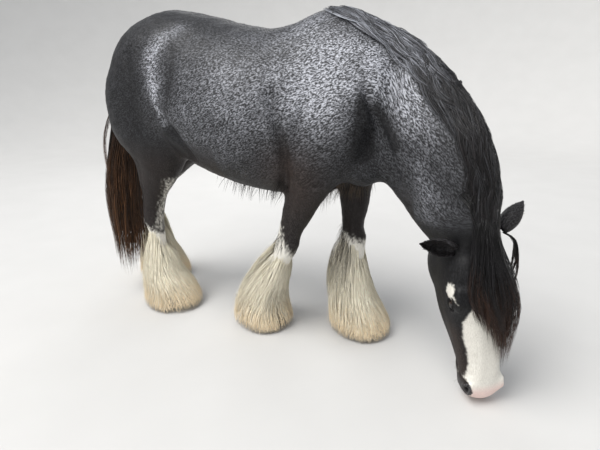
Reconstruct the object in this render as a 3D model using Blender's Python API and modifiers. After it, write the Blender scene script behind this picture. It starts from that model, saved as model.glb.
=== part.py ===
"""A grazing gypsy vanner horse at life size, as a still model.

Metres, +Z up. The horse heads along +X with its right side towards -Y, and stands on z = 0.
The flesh is lofted along the spine, neck, head and legs, fused, and parted by thin cuts.
Mane, forelock, tail and feather are flat locks that bend under their weight over the flesh.
"""

import math

import bmesh
import bpy
import numpy as np
from mathutils import Matrix, Vector
from mathutils.bvhtree import BVHTree
from mathutils.kdtree import KDTree

# Cuts and grain of the flesh
GAP = 0.0004  # between neighbouring cuts
CLEARANCE = 0.0003  # kept by what is carved to fit a neighbour
TOUCH = 0.000003  # corners nearer than this, and not joined by an edge, are drawn apart
TOUCH_SHIFT = 0.00005
SHARP_ANGLE = math.radians(40)
BODY_VOXEL = 0.012
BODY_FACES = 2950
HEAD_VOXEL = 0.0075
HEAD_FACES = 2400  # head and neck together, of which the head is kept

# Head
HEAD_LENGTH = 0.655
POLL = Vector((1.040, -0.199, 0.676))  # top of the head, between the ears
HEAD_AXIS = Vector((0.178, -0.031, -0.984)).normalized()  # poll to nose
HEAD_LEFT = Vector((0.777, 0.618, 0.121))  # towards the left ear
EYE_PLACE = Vector((0.240, 0.087, -0.030))  # in head space, left side
EYE_RADIUS = 0.0215
LID_THICKNESS = 0.0045
LID_OPENING = Vector((0.0200, 0.030, 0.0105))  # half sizes of the almond
EAR_LENGTH = 0.138
EAR_WIDTH = 0.034
EAR_BEND = 0.016  # how far the tip curls back
MOUTH_DEPTH = 0.0045
MOUTH_CENTRE = (0.530, -0.108)  # along the head and out of it, the middle of the mouth line's bend
MOUTH_BEND = (0.020, -0.010)
MOUTH_HALF_TURN = 2.0
LIP_GAP = 0.0025
NOSTRIL_PLACE = Vector((0.566, 0.070, -0.046))
NOSTRIL_RADII = (0.020, 0.016, 0.0105)
NOSTRIL_TURN = 0.5
# Ears in head space: root, direction, side that the cup opens to
EARS = {
    "left": (Vector((0.022, 0.091, -0.033)), Vector((-0.486, 0.83, -0.27)), Vector((0.80, 0.30, -0.52))),
    "right": (Vector((0.058, -0.074, -0.026)), Vector((-0.27, -0.94, 0.20)), Vector((0.54, 0.00, 0.76))),
}

# Feet: where each hoof stands
FORE_FEET = {"right": Vector((0.092, -0.052, 0)), "left": Vector((0.548, 0.105, 0))}
HIND_FEET = {"right": Vector((-0.475, -0.112, 0)), "left": Vector((-0.800, 0.160, 0))}
HOOF_HEIGHT = 0.078
HOOF_TOP_RADIUS = 0.060
HOOF_SOLE_RADIUS = 0.076
HOOF_TILT = 0.16  # fall of the coronet from toe to heel
HOOF_LEAN = -0.016  # how far the top stands behind the sole

# Locks
LOCK_STEPS = 4
ROOT_SINK = 0.014
MANE_LOCKS = 19
MANE_CREST = (0.08, 0.88)  # shares of the crest between which the mane grows
MANE_LENGTH = (0.38, 0.20)  # of a lock at the withers and at the poll
MANE_WIDTH = 0.070
MANE_THICKNESS = 0.012
MANE_WEIGHT = 0.50
FORELOCK_LOCKS = 9
FORELOCK_SPREAD = (-1.00, 1.00)  # from the right ear's side to the left's
FORELOCK_LENGTH = 0.33
FORELOCK_MORE = 0.09  # by which the locks over the left eye are longer
FORELOCK_WIDTH = 0.056
FORELOCK_THICKNESS = 0.014
FORELOCK_WEIGHT = 0.42
TAIL_LOCKS = 13
TAIL_ROOTS = (1.24, 0.86)  # heights between which the locks leave the dock
TAIL_HALF_TURN = 2.4  # from straight back
TAIL_MIDDLE = (Vector((-0.812, -0.045, 0)), Vector((-0.802, -0.060, 0)))  # of the hair, above and below
TAIL_SPREAD = (0.050, 0.098)
TAIL_FLARE = 0.022
TAIL_LONG_TIPS = (0.085, 0.36)
TAIL_SHORT_TIPS = (0.40, 0.66)
TAIL_WIDTH = 0.080
TAIL_THICKNESS = 0.020
FEATHER_REACH = {"fore_right": 0.150, "fore_left": 0.160, "hind_right": 0.150, "hind_left": 0.145}
# The bell of the feather: height, reach behind, reach ahead, half width, as shares of the reach
BELL = [
    (0.400, 0.36, 0.27, 0.30),
    (0.350, 0.66, 0.31, 0.42),
    (0.280, 0.95, 0.34, 0.54),
    (0.200, 1.10, 0.42, 0.66),
    (0.130, 1.14, 0.62, 0.78),
    (0.070, 1.12, 0.86, 0.91),
    (0.000, 1.04, 1.02, 0.97),
]
CORE_SHARE = 0.86  # of the bell, filled by the core of the feather
CORE_LOW = 0.060
HIND_BELL = 1.12  # the hind feather starts this much higher
FEATHER_SHARES = (0.0, 0.30, 0.60, 0.88, 1.0)  # where the sections of a feather lock lie
# Tiers of feather: root height, tip height, half turn from the heel, locks, share of the bell
FEATHER_TIERS = [(0.355, 0.060, 1.75, 7, 0.955), (0.185, 0.002, 3.14, 12, 0.90)]
FEATHER_LIFT = 0.055  # by which every other lock lies further out
FEATHER_WIDTH = 0.080
FEATHER_THICKNESS = 0.008

# Coat colours and finishes
COLOURS = {
    "roan_coat": ((0.085, 0.085, 0.095), 0.62),
    "black_hair": ((0.018, 0.016, 0.016), 0.50),
    "white_feather": ((0.72, 0.62, 0.46), 0.65),
    "brown_tail": ((0.060, 0.030, 0.018), 0.50),
    "hoof_horn": ((0.20, 0.16, 0.12), 0.45),
    "eye": ((0.012, 0.008, 0.006), 0.08),
}


def clear_scene():
    """Removes whatever the file opens with."""
    for obj in list(bpy.data.objects):
        bpy.data.objects.remove(obj, do_unlink=True)


def new_collection(name, hidden=False):
    """A collection in the scene, left out of renders where hidden."""
    made = bpy.data.collections.new(name)
    bpy.context.scene.collection.children.link(made)
    made.hide_render = hidden
    return made


def material(slot):
    """The slot's Principled material, made once."""
    found = bpy.data.materials.get(slot)
    if found:
        return found
    made = bpy.data.materials.new(slot)
    made.use_nodes = True
    colour, roughness = COLOURS[slot]
    shader = made.node_tree.nodes["Principled BSDF"]
    shader.inputs["Base Color"].default_value = (*colour, 1.0)
    shader.inputs["Roughness"].default_value = roughness
    shader.inputs["Metallic"].default_value = 0.0
    return made


def mesh_object(name, points, faces, collection):
    """An object from arrays of points and faces, with its faces pointing out."""
    mesh = bpy.data.meshes.new(name)
    mesh.from_pydata([tuple(p) for p in points], [], faces)
    shape = bmesh.new()
    shape.from_mesh(mesh)
    bmesh.ops.recalc_face_normals(shape, faces=shape.faces)
    shape.to_mesh(mesh)
    shape.free()
    obj = bpy.data.objects.new(name, mesh)
    collection.objects.link(obj)
    return obj


def smooth_rows(rows, per_span):
    """Rows of numbers joined by smooth curves: Hermite spans, spaced by the distance between rows."""
    rows = np.array(rows, float)
    chord = np.linalg.norm(np.diff(rows[:, :3], axis=0), axis=1)
    at = np.concatenate([[0], np.cumsum(chord)])
    slope = np.gradient(rows, at, axis=0)
    made = []
    for i in range(len(rows) - 1):
        span = at[i + 1] - at[i]
        for t in np.linspace(0, 1, per_span, endpoint=False):
            a = 2 * t**3 - 3 * t**2 + 1
            b = t**3 - 2 * t**2 + t
            c = -2 * t**3 + 3 * t**2
            d = t**3 - t**2
            made.append(a * rows[i] + b * span * slope[i] + c * rows[i + 1] + d * span * slope[i + 1])
    made.append(rows[-1])
    return np.array(made)


def unit(v):
    """v at length one, for one vector or a column of them."""
    return v / np.linalg.norm(v, axis=-1, keepdims=True)


def loft(name, rows, collection, left=(0, 1, 0), left_end=None, per_span=4, sides=28, frame=None):
    """A closed tube of egg-shaped sections along a spine.

    A row is x, y, z, half width, reach up, reach down, squareness, egg. Up is the spine's
    direction crossed with left. Egg above 0 makes a section wider towards its up side.
    """
    rows = smooth_rows(rows, per_span)
    centre = rows[:, :3]
    along = unit(np.gradient(centre, axis=0))
    share = np.linspace(0, 1, len(rows))[:, None]
    first = np.array(left, float)
    last = np.array(left_end if left_end is not None else left, float)
    side = unit(first * (1 - share) + last * share)
    up = unit(np.cross(along, side))
    side = np.cross(up, along)
    angle = np.linspace(0, 2 * math.pi, sides, endpoint=False)
    power = 2 / rows[:, 6:7]
    across = np.sign(np.cos(angle)) * np.abs(np.cos(angle)) ** power
    rise = np.sign(np.sin(angle)) * np.abs(np.sin(angle)) ** power
    wide = rows[:, 3:4] * (1 + rows[:, 7:8] * rise) * across
    tall = np.where(rise > 0, rows[:, 4:5], rows[:, 5:6]) * rise
    points = centre[:, None] + side[:, None] * wide[..., None] + up[:, None] * tall[..., None]
    points = points.reshape(-1, 3)
    if frame is not None:
        points = points @ np.array(frame.to_3x3()).T + np.array(frame.translation)
    faces = []
    for i in range(len(rows) - 1):
        for j in range(sides):
            k = (j + 1) % sides
            faces.append((i * sides + j, i * sides + k, (i + 1) * sides + k, (i + 1) * sides + j))
    faces.append(tuple(range(sides)))
    faces.append(tuple(range(len(points) - sides, len(points)))[::-1])
    return mesh_object(name, points, faces, collection)


def ball(name, centre, radii, collection, frame=None, turn=None, segments=24):
    """An ellipsoid. Radii are along its own axes, which turn, and then a frame, may swing."""
    mesh = bpy.data.meshes.new(name)
    shape = bmesh.new()
    bmesh.ops.create_uvsphere(shape, u_segments=segments, v_segments=segments * 2 // 3, radius=1.0)
    place = Matrix.Translation(centre)
    if turn is not None:
        place = place @ turn.to_4x4()
    place = place @ Matrix.Diagonal((*radii, 1.0))
    if frame is not None:
        place = frame @ place
    bmesh.ops.transform(shape, matrix=place, verts=shape.verts)
    shape.to_mesh(mesh)
    shape.free()
    obj = bpy.data.objects.new(name, mesh)
    collection.objects.link(obj)
    return obj


def mirrored(centre, sign):
    """The point with its Y turned to the side that sign gives."""
    return Vector((centre[0], centre[1] * sign, centre[2]))


def head_frame():
    """Head space: X poll to nose, Y to the left ear, Z out of the forehead."""
    along = HEAD_AXIS
    left = (HEAD_LEFT - along * HEAD_LEFT.dot(along)).normalized()
    out = along.cross(left)
    frame = Matrix((along, left, out)).transposed().to_4x4()
    scale = HEAD_LENGTH / 0.61
    return Matrix.Translation(POLL) @ frame @ Matrix.Diagonal((scale, scale, scale, 1))


# Body forms. A row: x, y, z, half width, up, down, squareness, egg
TRUNK = [
    (-0.748, 0, 1.120, 0.065, 0.075, 0.120, 2.1, 0.00),
    (-0.716, 0, 1.120, 0.145, 0.125, 0.190, 2.2, 0.00),
    (-0.650, 0, 1.125, 0.228, 0.214, 0.270, 2.3, 0.00),
    (-0.564, 0, 1.130, 0.288, 0.298, 0.315, 2.4, -0.02),
    (-0.440, 0, 1.120, 0.312, 0.354, 0.320, 2.4, -0.03),
    (-0.280, 0, 1.110, 0.318, 0.343, 0.315, 2.3, -0.04),
    (-0.120, 0, 1.080, 0.338, 0.330, 0.345, 2.2, -0.05),
    (0.040, 0, 1.060, 0.345, 0.320, 0.370, 2.2, -0.05),
    (0.180, 0, 1.060, 0.330, 0.307, 0.385, 2.2, -0.08),
    (0.300, 0, 1.070, 0.288, 0.322, 0.395, 2.1, -0.14),
    (0.420, 0, 1.080, 0.248, 0.345, 0.395, 2.1, -0.18),
    (0.520, 0, 1.060, 0.232, 0.290, 0.360, 2.1, -0.10),
    (0.610, 0, 1.020, 0.205, 0.225, 0.280, 2.1, 0.00),
    (0.670, 0, 0.990, 0.140, 0.140, 0.160, 2.0, 0.00),
]

NECK = [
    (0.340, 0.000, 1.160, 0.170, 0.200, 0.260, 2.1, -0.20),
    (0.460, 0.000, 1.130, 0.172, 0.256, 0.290, 2.1, -0.26),
    (0.590, -0.005, 1.080, 0.158, 0.256, 0.275, 2.1, -0.30),
    (0.710, -0.030, 1.000, 0.134, 0.248, 0.235, 2.1, -0.32),
    (0.812, -0.065, 0.900, 0.120, 0.244, 0.210, 2.1, -0.32),
    (0.893, -0.098, 0.790, 0.110, 0.232, 0.195, 2.1, -0.28),
    (0.950, -0.124, 0.690, 0.100, 0.196, 0.175, 2.1, -0.18),
    (0.985, -0.142, 0.610, 0.082, 0.130, 0.130, 2.0, -0.05),
    (1.002, -0.152, 0.560, 0.050, 0.070, 0.070, 2.0, 0.00),
]

# Head rows are in head space
HEAD = [
    (-0.035, 0, -0.065, 0.045, 0.035, 0.050, 2.0, 0.00),
    (0.010, 0, -0.072, 0.075, 0.065, 0.080, 2.1, 0.00),
    (0.080, 0, -0.088, 0.098, 0.104, 0.135, 2.2, 0.05),
    (0.150, 0, -0.092, 0.108, 0.128, 0.158, 2.3, 0.12),
    (0.220, 0, -0.092, 0.109, 0.132, 0.150, 2.4, 0.14),
    (0.290, 0, -0.086, 0.102, 0.113, 0.136, 2.4, 0.05),
    (0.360, 0, -0.080, 0.090, 0.094, 0.108, 2.4, 0.00),
    (0.430, 0, -0.076, 0.077, 0.079, 0.082, 2.4, 0.00),
    (0.500, 0, -0.074, 0.070, 0.070, 0.062, 2.4, 0.00),
    (0.550, 0, -0.077, 0.072, 0.065, 0.062, 2.3, -0.02),
    (0.590, 0, -0.084, 0.064, 0.054, 0.054, 2.2, -0.05),
    (0.612, 0, -0.090, 0.042, 0.034, 0.036, 2.1, 0.00),
]

# Legs run down from the body, with a section's up side forwards
FORELEG = {
    "right": [
        (0.410, -0.080, 1.280, 0.060, 0.090, 0.090, 2.2, 0),
        (0.455, -0.120, 1.160, 0.092, 0.140, 0.160, 2.2, 0),
        (0.480, -0.146, 1.040, 0.110, 0.160, 0.190, 2.2, 0),
        (0.455, -0.158, 0.930, 0.110, 0.160, 0.165, 2.2, 0),
        (0.390, -0.155, 0.810, 0.090, 0.120, 0.110, 2.2, 0),
        (0.345, -0.145, 0.710, 0.074, 0.088, 0.088, 2.2, 0),
        (0.300, -0.132, 0.610, 0.060, 0.070, 0.070, 2.2, 0),
        (0.262, -0.122, 0.520, 0.050, 0.056, 0.056, 2.2, 0),
        (0.236, -0.115, 0.440, 0.054, 0.056, 0.058, 2.3, 0),
        (0.206, -0.101, 0.365, 0.042, 0.040, 0.048, 2.2, 0),
        (0.170, -0.087, 0.270, 0.037, 0.036, 0.044, 2.2, 0),
        (0.122, -0.065, 0.175, 0.043, 0.044, 0.056, 2.2, 0),
        (0.100, -0.056, 0.120, 0.044, 0.044, 0.048, 2.2, 0),
        (0.087, -0.052, 0.060, 0.052, 0.052, 0.050, 2.2, 0),
    ],
    "left": [
        (0.410, 0.080, 1.280, 0.060, 0.090, 0.090, 2.2, 0),
        (0.460, 0.120, 1.160, 0.092, 0.140, 0.160, 2.2, 0),
        (0.490, 0.146, 1.040, 0.110, 0.160, 0.190, 2.2, 0),
        (0.482, 0.158, 0.930, 0.110, 0.158, 0.165, 2.2, 0),
        (0.455, 0.150, 0.810, 0.090, 0.120, 0.110, 2.2, 0),
        (0.455, 0.142, 0.710, 0.074, 0.088, 0.088, 2.2, 0),
        (0.460, 0.132, 0.610, 0.060, 0.070, 0.070, 2.2, 0),
        (0.458, 0.122, 0.520, 0.050, 0.056, 0.056, 2.2, 0),
        (0.475, 0.114, 0.440, 0.054, 0.056, 0.058, 2.3, 0),
        (0.485, 0.110, 0.365, 0.042, 0.040, 0.048, 2.2, 0),
        (0.500, 0.108, 0.270, 0.037, 0.036, 0.044, 2.2, 0),
        (0.520, 0.107, 0.175, 0.043, 0.044, 0.056, 2.2, 0),
        (0.534, 0.106, 0.120, 0.044, 0.044, 0.048, 2.2, 0),
        (0.543, 0.105, 0.060, 0.052, 0.052, 0.050, 2.2, 0),
    ],
}
HINDLEG = {
    "right": [
        (-0.480, -0.120, 1.280, 0.110, 0.140, 0.130, 2.2, 0),
        (-0.500, -0.150, 1.150, 0.150, 0.220, 0.188, 2.4, 0),
        (-0.490, -0.160, 1.000, 0.150, 0.248, 0.206, 2.4, 0),
        (-0.455, -0.165, 0.880, 0.130, 0.200, 0.180, 2.4, 0),
        (-0.460, -0.160, 0.780, 0.098, 0.140, 0.130, 2.3, 0),
        (-0.500, -0.152, 0.670, 0.070, 0.090, 0.095, 2.2, 0),
        (-0.530, -0.145, 0.570, 0.052, 0.060, 0.065, 2.2, 0),
        (-0.546, -0.140, 0.490, 0.052, 0.058, 0.063, 2.2, 0),
        (-0.540, -0.135, 0.400, 0.042, 0.048, 0.046, 2.2, 0),
        (-0.532, -0.128, 0.300, 0.038, 0.040, 0.044, 2.2, 0),
        (-0.522, -0.120, 0.190, 0.044, 0.046, 0.056, 2.2, 0),
        (-0.498, -0.115, 0.130, 0.044, 0.046, 0.048, 2.2, 0),
        (-0.480, -0.112, 0.060, 0.052, 0.052, 0.050, 2.2, 0),
    ],
    "left": [
        (-0.480, 0.120, 1.280, 0.110, 0.140, 0.130, 2.2, 0),
        (-0.515, 0.150, 1.150, 0.150, 0.210, 0.185, 2.4, 0),
        (-0.540, 0.158, 1.000, 0.150, 0.230, 0.190, 2.4, 0),
        (-0.570, 0.162, 0.880, 0.130, 0.180, 0.170, 2.4, 0),
        (-0.640, 0.162, 0.780, 0.098, 0.125, 0.130, 2.3, 0),
        (-0.725, 0.162, 0.670, 0.070, 0.085, 0.095, 2.2, 0),
        (-0.790, 0.160, 0.575, 0.052, 0.060, 0.065, 2.2, 0),
        (-0.824, 0.158, 0.490, 0.052, 0.058, 0.063, 2.2, 0),
        (-0.835, 0.158, 0.400, 0.042, 0.048, 0.046, 2.2, 0),
        (-0.840, 0.158, 0.300, 0.038, 0.040, 0.044, 2.2, 0),
        (-0.842, 0.160, 0.190, 0.044, 0.046, 0.056, 2.2, 0),
        (-0.822, 0.160, 0.130, 0.044, 0.046, 0.048, 2.2, 0),
        (-0.805, 0.160, 0.060, 0.052, 0.052, 0.050, 2.2, 0),
    ],
}

# Muscles on both sides: centre, radii
MUSCLES = {
    "haunch": ((-0.545, 0.115, 1.220), (0.170, 0.130, 0.150)),
    "pectoral": ((0.575, 0.095, 0.880), (0.105, 0.095, 0.140)),
}
# Masses of the head, in head space
HEAD_MASSES = {
    "brow": ((0.217, 0.080, -0.006), (0.048, 0.030, 0.030)),
    "cheek": ((0.148, 0.068, -0.135), (0.105, 0.038, 0.100)),
    "nostril_wing": ((0.553, 0.050, -0.045), (0.036, 0.025, 0.030)),
}
CHIN = ((0.570, 0, -0.132), (0.030, 0.034, 0.020))
HOCK_POINTS = {"right": (-0.580, -0.143, 0.530), "left": (-0.838, 0.158, 0.535)}
UPPER_LIP = ((0.595, 0, -0.085), (0.028, 0.046, 0.032))

# The dock and the core of the tail, to half way down its hair
TAIL_CORE = [
    (-0.620, 0.000, 1.320, 0.030, 0.030, 0.030, 2.0, 0),
    (-0.698, 0.000, 1.315, 0.042, 0.040, 0.040, 2.0, 0),
    (-0.763, -0.004, 1.250, 0.050, 0.042, 0.042, 2.0, 0),
    (-0.793, -0.020, 1.130, 0.062, 0.046, 0.046, 2.0, 0),
    (-0.804, -0.045, 1.000, 0.070, 0.050, 0.050, 2.0, 0),
    (-0.808, -0.062, 0.850, 0.066, 0.046, 0.046, 2.0, 0),
    (-0.808, -0.075, 0.720, 0.045, 0.030, 0.030, 2.0, 0),
]

# Outlines that part the flesh, as x and z. The legs' run out from LEG_INNER on their side
NECK_OUTLINE = [(0.400, 1.60), (0.470, 1.42), (0.680, 0.84), (0.800, 0.60), (0.800, -0.1), (1.5, -0.1), (1.5, 1.6)]
HEAD_OUTLINE = [(-0.050, 0.20), (-0.030, 0.03), (0.095, -0.24), (0.120, -0.40), (0.9, -0.40), (0.9, 0.20)]
LEG_OUTLINES = {
    "fore_right": [(0.285, 0.85), (0.545, 0.85), (0.520, 0.66), (0.550, -0.1), (-0.15, -0.1), (0.250, 0.64)],
    "fore_left": [(0.320, 0.85), (0.580, 0.85), (0.590, 0.66), (0.790, -0.1), (0.15, -0.1), (0.310, 0.64)],
    "hind_right": [(-0.900, 1.02), (-0.270, 0.95), (-0.300, 0.78), (-0.20, -0.1), (-0.75, -0.1), (-0.90, 0.60)],
    "hind_left": [(-0.900, 1.02), (-0.270, 0.95), (-0.330, 0.78), (-0.45, -0.1), (-1.20, -0.1), (-1.00, 0.60)],
}
LEG_INNER = 0.045
KNEE_CUT = 0.415
HOCK_CUT = 0.450


def head_forms(collection):
    """The lofts and masses of the head and the neck."""
    frame = head_frame()
    head_left = np.array(frame.to_3x3())[:, 1]
    loft("neck_form", NECK, collection, left_end=head_left, sides=32)
    loft("head_form", HEAD, collection, frame=frame, sides=32)
    for sign in (-1, 1):
        for name, (centre, radii) in HEAD_MASSES.items():
            ball(name, mirrored(centre, sign), radii, collection, frame=frame)
    ball("chin", CHIN[0], CHIN[1], collection, frame=frame)
    ball("upper_lip", UPPER_LIP[0], UPPER_LIP[1], collection, frame=frame)


def body_forms(collection):
    """The lofts and masses of the whole body."""
    head_forms(collection)
    loft("trunk", TRUNK, collection, sides=40)
    for side, sign in (("right", -1), ("left", 1)):
        loft("foreleg", FORELEG[side], collection, sides=24)
        loft("hindleg", HINDLEG[side], collection, sides=24)
        ball("hock", HOCK_POINTS[side], (0.030, 0.022, 0.048), collection)
        for name, (centre, radii) in MUSCLES.items():
            ball(name, mirrored(centre, sign), radii, collection)


def apply_modifiers(obj):
    """The object with its mesh as its modifiers leave it."""
    bpy.context.view_layer.update()
    graph = bpy.context.evaluated_depsgraph_get()
    mesh = bpy.data.meshes.new_from_object(obj.evaluated_get(graph))
    obj.modifiers.clear()
    old = obj.data
    obj.data = mesh
    bpy.data.meshes.remove(old)
    return obj


def empty_out(collection):
    """Removes a collection with its objects."""
    for obj in list(collection.objects):
        bpy.data.objects.remove(obj, do_unlink=True)
    bpy.data.collections.remove(collection)


def copy_of(name, source, collection):
    """A second object with its own copy of the mesh."""
    obj = bpy.data.objects.new(name, source.data.copy())
    collection.objects.link(obj)
    return obj


def joined(name, sources, collection):
    """One object that holds the meshes of several, which are removed."""
    shape = bmesh.new()
    for source in sources:
        shape.from_mesh(source.data)
        bpy.data.objects.remove(source, do_unlink=True)
    mesh = bpy.data.meshes.new(name)
    shape.to_mesh(mesh)
    shape.free()
    obj = bpy.data.objects.new(name, mesh)
    collection.objects.link(obj)
    return obj


def fused(name, build_forms, voxel, faces, collection):
    """One closed surface round a set of forms: fused by voxels, eased, then thinned."""
    forms = new_collection("forms", hidden=True)
    build_forms(forms)
    body = joined(name, list(forms.objects), collection)
    empty_out(forms)
    remesh = body.modifiers.new("fuse", "REMESH")
    remesh.mode = "VOXEL"
    remesh.voxel_size = voxel
    ease = body.modifiers.new("ease", "SMOOTH")
    ease.iterations = 14
    ease.factor = 0.5
    apply_modifiers(body)
    thin = body.modifiers.new("thin", "DECIMATE")
    thin.ratio = faces / (2 * len(body.data.polygons))
    apply_modifiers(body)
    return body


def inset(outline, distance):
    """The outline with every edge moved inwards by a distance, or outwards where it is negative."""
    corners = [Vector(c) for c in outline]
    area = sum(a.x * b.y - b.x * a.y for a, b in zip(corners, corners[1:] + corners[:1]))
    turn = 1 if area > 0 else -1
    edges = []
    for a, b in zip(corners, corners[1:] + corners[:1]):
        along = (b - a).normalized()
        inward = Vector((-along.y, along.x)) * turn
        edges.append((a + inward * distance, along))
    moved = []
    for (p, d), (q, e) in zip(edges[-1:] + edges[:-1], edges):
        cross = d.x * e.y - d.y * e.x
        share = ((q.x - p.x) * e.y - (q.y - p.y) * e.x) / cross
        moved.append(p + d * share)
    return moved


def prism(name, outline, low, high, collection, frame=None):
    """An outline in X and Z, carried from one Y to another."""
    points = [(c[0], low, c[1]) for c in outline] + [(c[0], high, c[1]) for c in outline]
    count = len(outline)
    faces = [tuple(range(count)), tuple(range(count, 2 * count))[::-1]]
    for i in range(count):
        k = (i + 1) % count
        faces.append((i, k, k + count, i + count))
    obj = mesh_object(name, points, faces, collection)
    if frame is not None:
        obj.data.transform(frame)
    return obj


def combine(target, cutters, operation, solver="EXACT"):
    """Applies one Boolean with a whole collection, which is removed. Keeps the largest surface.

    Crossing locks, and what is carved to fit them, take MANIFOLD: EXACT leaves walls of no
    thickness where their thin edges graze one another.
    """
    for cutter in cutters.objects:
        cutter.hide_render = True
        cutter.display_type = "WIRE"
    boolean = target.modifiers.new("combine", "BOOLEAN")
    boolean.operand_type = "COLLECTION"
    boolean.collection = cutters
    boolean.operation = operation
    boolean.solver = solver
    apply_modifiers(target)
    empty_out(cutters)
    keep_largest(target)
    part_touches(target)
    return target


def keep_largest(obj):
    """Drops every closed surface of the object but the one round the largest space."""
    shape = bmesh.new()
    shape.from_mesh(obj.data)
    bmesh.ops.triangulate(shape, faces=shape.faces)
    unseen = set(shape.faces)
    shells = []
    while unseen:
        group = [unseen.pop()]
        for face in group:
            for edge in face.edges:
                for other in edge.link_faces:
                    if other in unseen:
                        unseen.remove(other)
                        group.append(other)
        volume = 0.0
        for face in group:
            a, b, c = (v.co for v in face.verts)
            volume += a.dot(b.cross(c)) / 6
        shells.append((volume, group))
    shells.sort(key=lambda shell: shell[0])
    for _, group in shells[:-1]:
        bmesh.ops.delete(shape, geom=group, context="FACES")
    loose = [v for v in shape.verts if not v.link_faces]
    bmesh.ops.delete(shape, geom=loose, context="VERTS")
    shape.to_mesh(obj.data)
    shape.free()


def part_touches(obj):
    """Draws corners that meet without sharing an edge apart, each back into its own side."""
    shape = bmesh.new()
    shape.from_mesh(obj.data)
    shape.normal_update()
    shape.verts.ensure_lookup_table()
    tree = KDTree(len(shape.verts))
    for vert in shape.verts:
        tree.insert(vert.co, vert.index)
    tree.balance()
    shifts = {}
    for vert in shape.verts:
        linked = {edge.other_vert(vert).index for edge in vert.link_edges}
        for _, index, _ in tree.find_range(vert.co, TOUCH):
            if index != vert.index and index not in linked:
                shifts[vert.index] = vert.normal * -TOUCH_SHIFT
    for index, shift in shifts.items():
        shape.verts[index].co += shift
    shape.to_mesh(obj.data)
    shape.free()


def region(name, source, cutter, collection):
    """The part of source that lies within cutter, as a new object."""
    obj = copy_of(name, source, collection)
    cutters = new_collection("cutters", hidden=True)
    cutters.objects.link(cutter)
    for owner in list(cutter.users_collection):
        if owner != cutters:
            owner.objects.unlink(cutter)
    return combine(obj, cutters, "INTERSECT")


def grown(source, distance, collection):
    """A copy of source with every point moved out along its normal."""
    obj = copy_of("grown", source, collection)
    shape = bmesh.new()
    shape.from_mesh(obj.data)
    shape.normal_update()
    shifts = [(v, v.normal * distance * min(v.calc_shell_factor(), 1.2)) for v in shape.verts]
    for vert, shift in shifts:
        vert.co += shift
    shape.to_mesh(obj.data)
    shape.free()
    return obj


def carve(target, neighbours):
    """Cuts target clear of its neighbours."""
    cutters = new_collection("cutters", hidden=True)
    for neighbour in neighbours:
        grown(neighbour, CLEARANCE, cutters)
    return combine(target, cutters, "DIFFERENCE", "MANIFOLD")


def surface_of(objects):
    """A tree of the faces of several objects, for laying locks on them."""
    points = []
    faces = []
    for obj in objects:
        start = len(points)
        points += [v.co.copy() for v in obj.data.vertices]
        faces += [tuple(start + i for i in face.vertices) for face in obj.data.polygons]
    return BVHTree.FromPolygons(points, faces)


def lock(name, spots, outs, width, thickness, collection, root_share=0.8, taper=0.5):
    """A flat tapered lock along a path: low three-sided sections that narrow to a point."""
    spots = np.array([tuple(p) for p in spots])
    outs = np.array([tuple(p) for p in outs])
    along = unit(np.gradient(spots, axis=0))
    side = unit(np.cross(along, outs))
    out = np.cross(side, along)
    share = np.linspace(0, 1, len(spots))[:-1, None]
    swell = root_share + (1.15 - root_share) * np.sin(math.pi * np.minimum(share * 1.1, 0.5))
    wide = 0.5 * width * (1 - share) ** taper * swell
    thick = 0.5 * thickness * (1 - 0.7 * share)
    base = spots[:-1] - out[:-1] * thick * 0.6
    rim = [base + side[:-1] * wide, spots[:-1] + out[:-1] * thick, base - side[:-1] * wide]
    points = np.stack(rim, axis=1).reshape(-1, 3)
    tip = len(points)
    points = np.vstack([points, spots[-1]])
    faces = [(0, 1, 2)]
    for i in range(len(spots) - 2):
        for j in range(3):
            a = i * 3 + j
            b = i * 3 + (j + 1) % 3
            faces.append((a, b, b + 3))
            faces.append((a, b + 3, a + 3))
    last = tip - 3
    faces += [(last + j, last + (j + 1) % 3, tip) for j in range(3)]
    return mesh_object(name, points, faces, collection)


def hanging_path(surface, root, heading, length, hug, weight, sway, steps=LOCK_STEPS):
    """Path of a lock that leaves its root, bends under its weight and lies on what it meets."""
    near, out, _, _ = surface.find_nearest(root)
    way = heading.normalized()
    spots = [near - out * ROOT_SINK - way * ROOT_SINK * 0.5]
    outs = [out]
    spot = near + out * hug * 0.5
    step = length / steps
    for i in range(steps):
        way = (way + Vector((0, 0, -weight)) + sway * math.sin(2.2 * i)).normalized()
        spot = spot + way * step
        near, out, _, _ = surface.find_nearest(spot)
        rise = (spot - near).dot(out)
        lift = hug * (1.0 - 0.4 * (i + 1) / steps)
        if rise < lift:
            spot = spot + out * (lift - rise)
        way = (spot - (spots[-1] if i else near)).normalized() if i else way
        blend = (outs[-1] + out).normalized() if rise < 3 * lift else outs[-1]
        spots.append(spot.copy())
        outs.append(blend)
    return spots, outs


def crest_point(share):
    """A point on the top line of the neck, from the withers at 0 to the poll at 1, and its frame."""
    frame = head_frame()
    rows = smooth_rows(NECK[:-2], 6)
    head_left = np.array(frame.to_3x3())[:, 1]
    place = share * (len(rows) - 1)
    low = min(int(place), len(rows) - 2)
    part = place - low
    row = rows[low] * (1 - part) + rows[low + 1] * part
    along = unit(rows[low + 1, :3] - rows[low, :3])
    left = unit(np.array((0.0, 1.0, 0.0)) * (1 - share) + head_left * share)
    up = unit(np.cross(along, left))
    top = row[:3] + up * row[4]
    return Vector(top), Vector(along), Vector(np.cross(up, along)), Vector(up)


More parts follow.
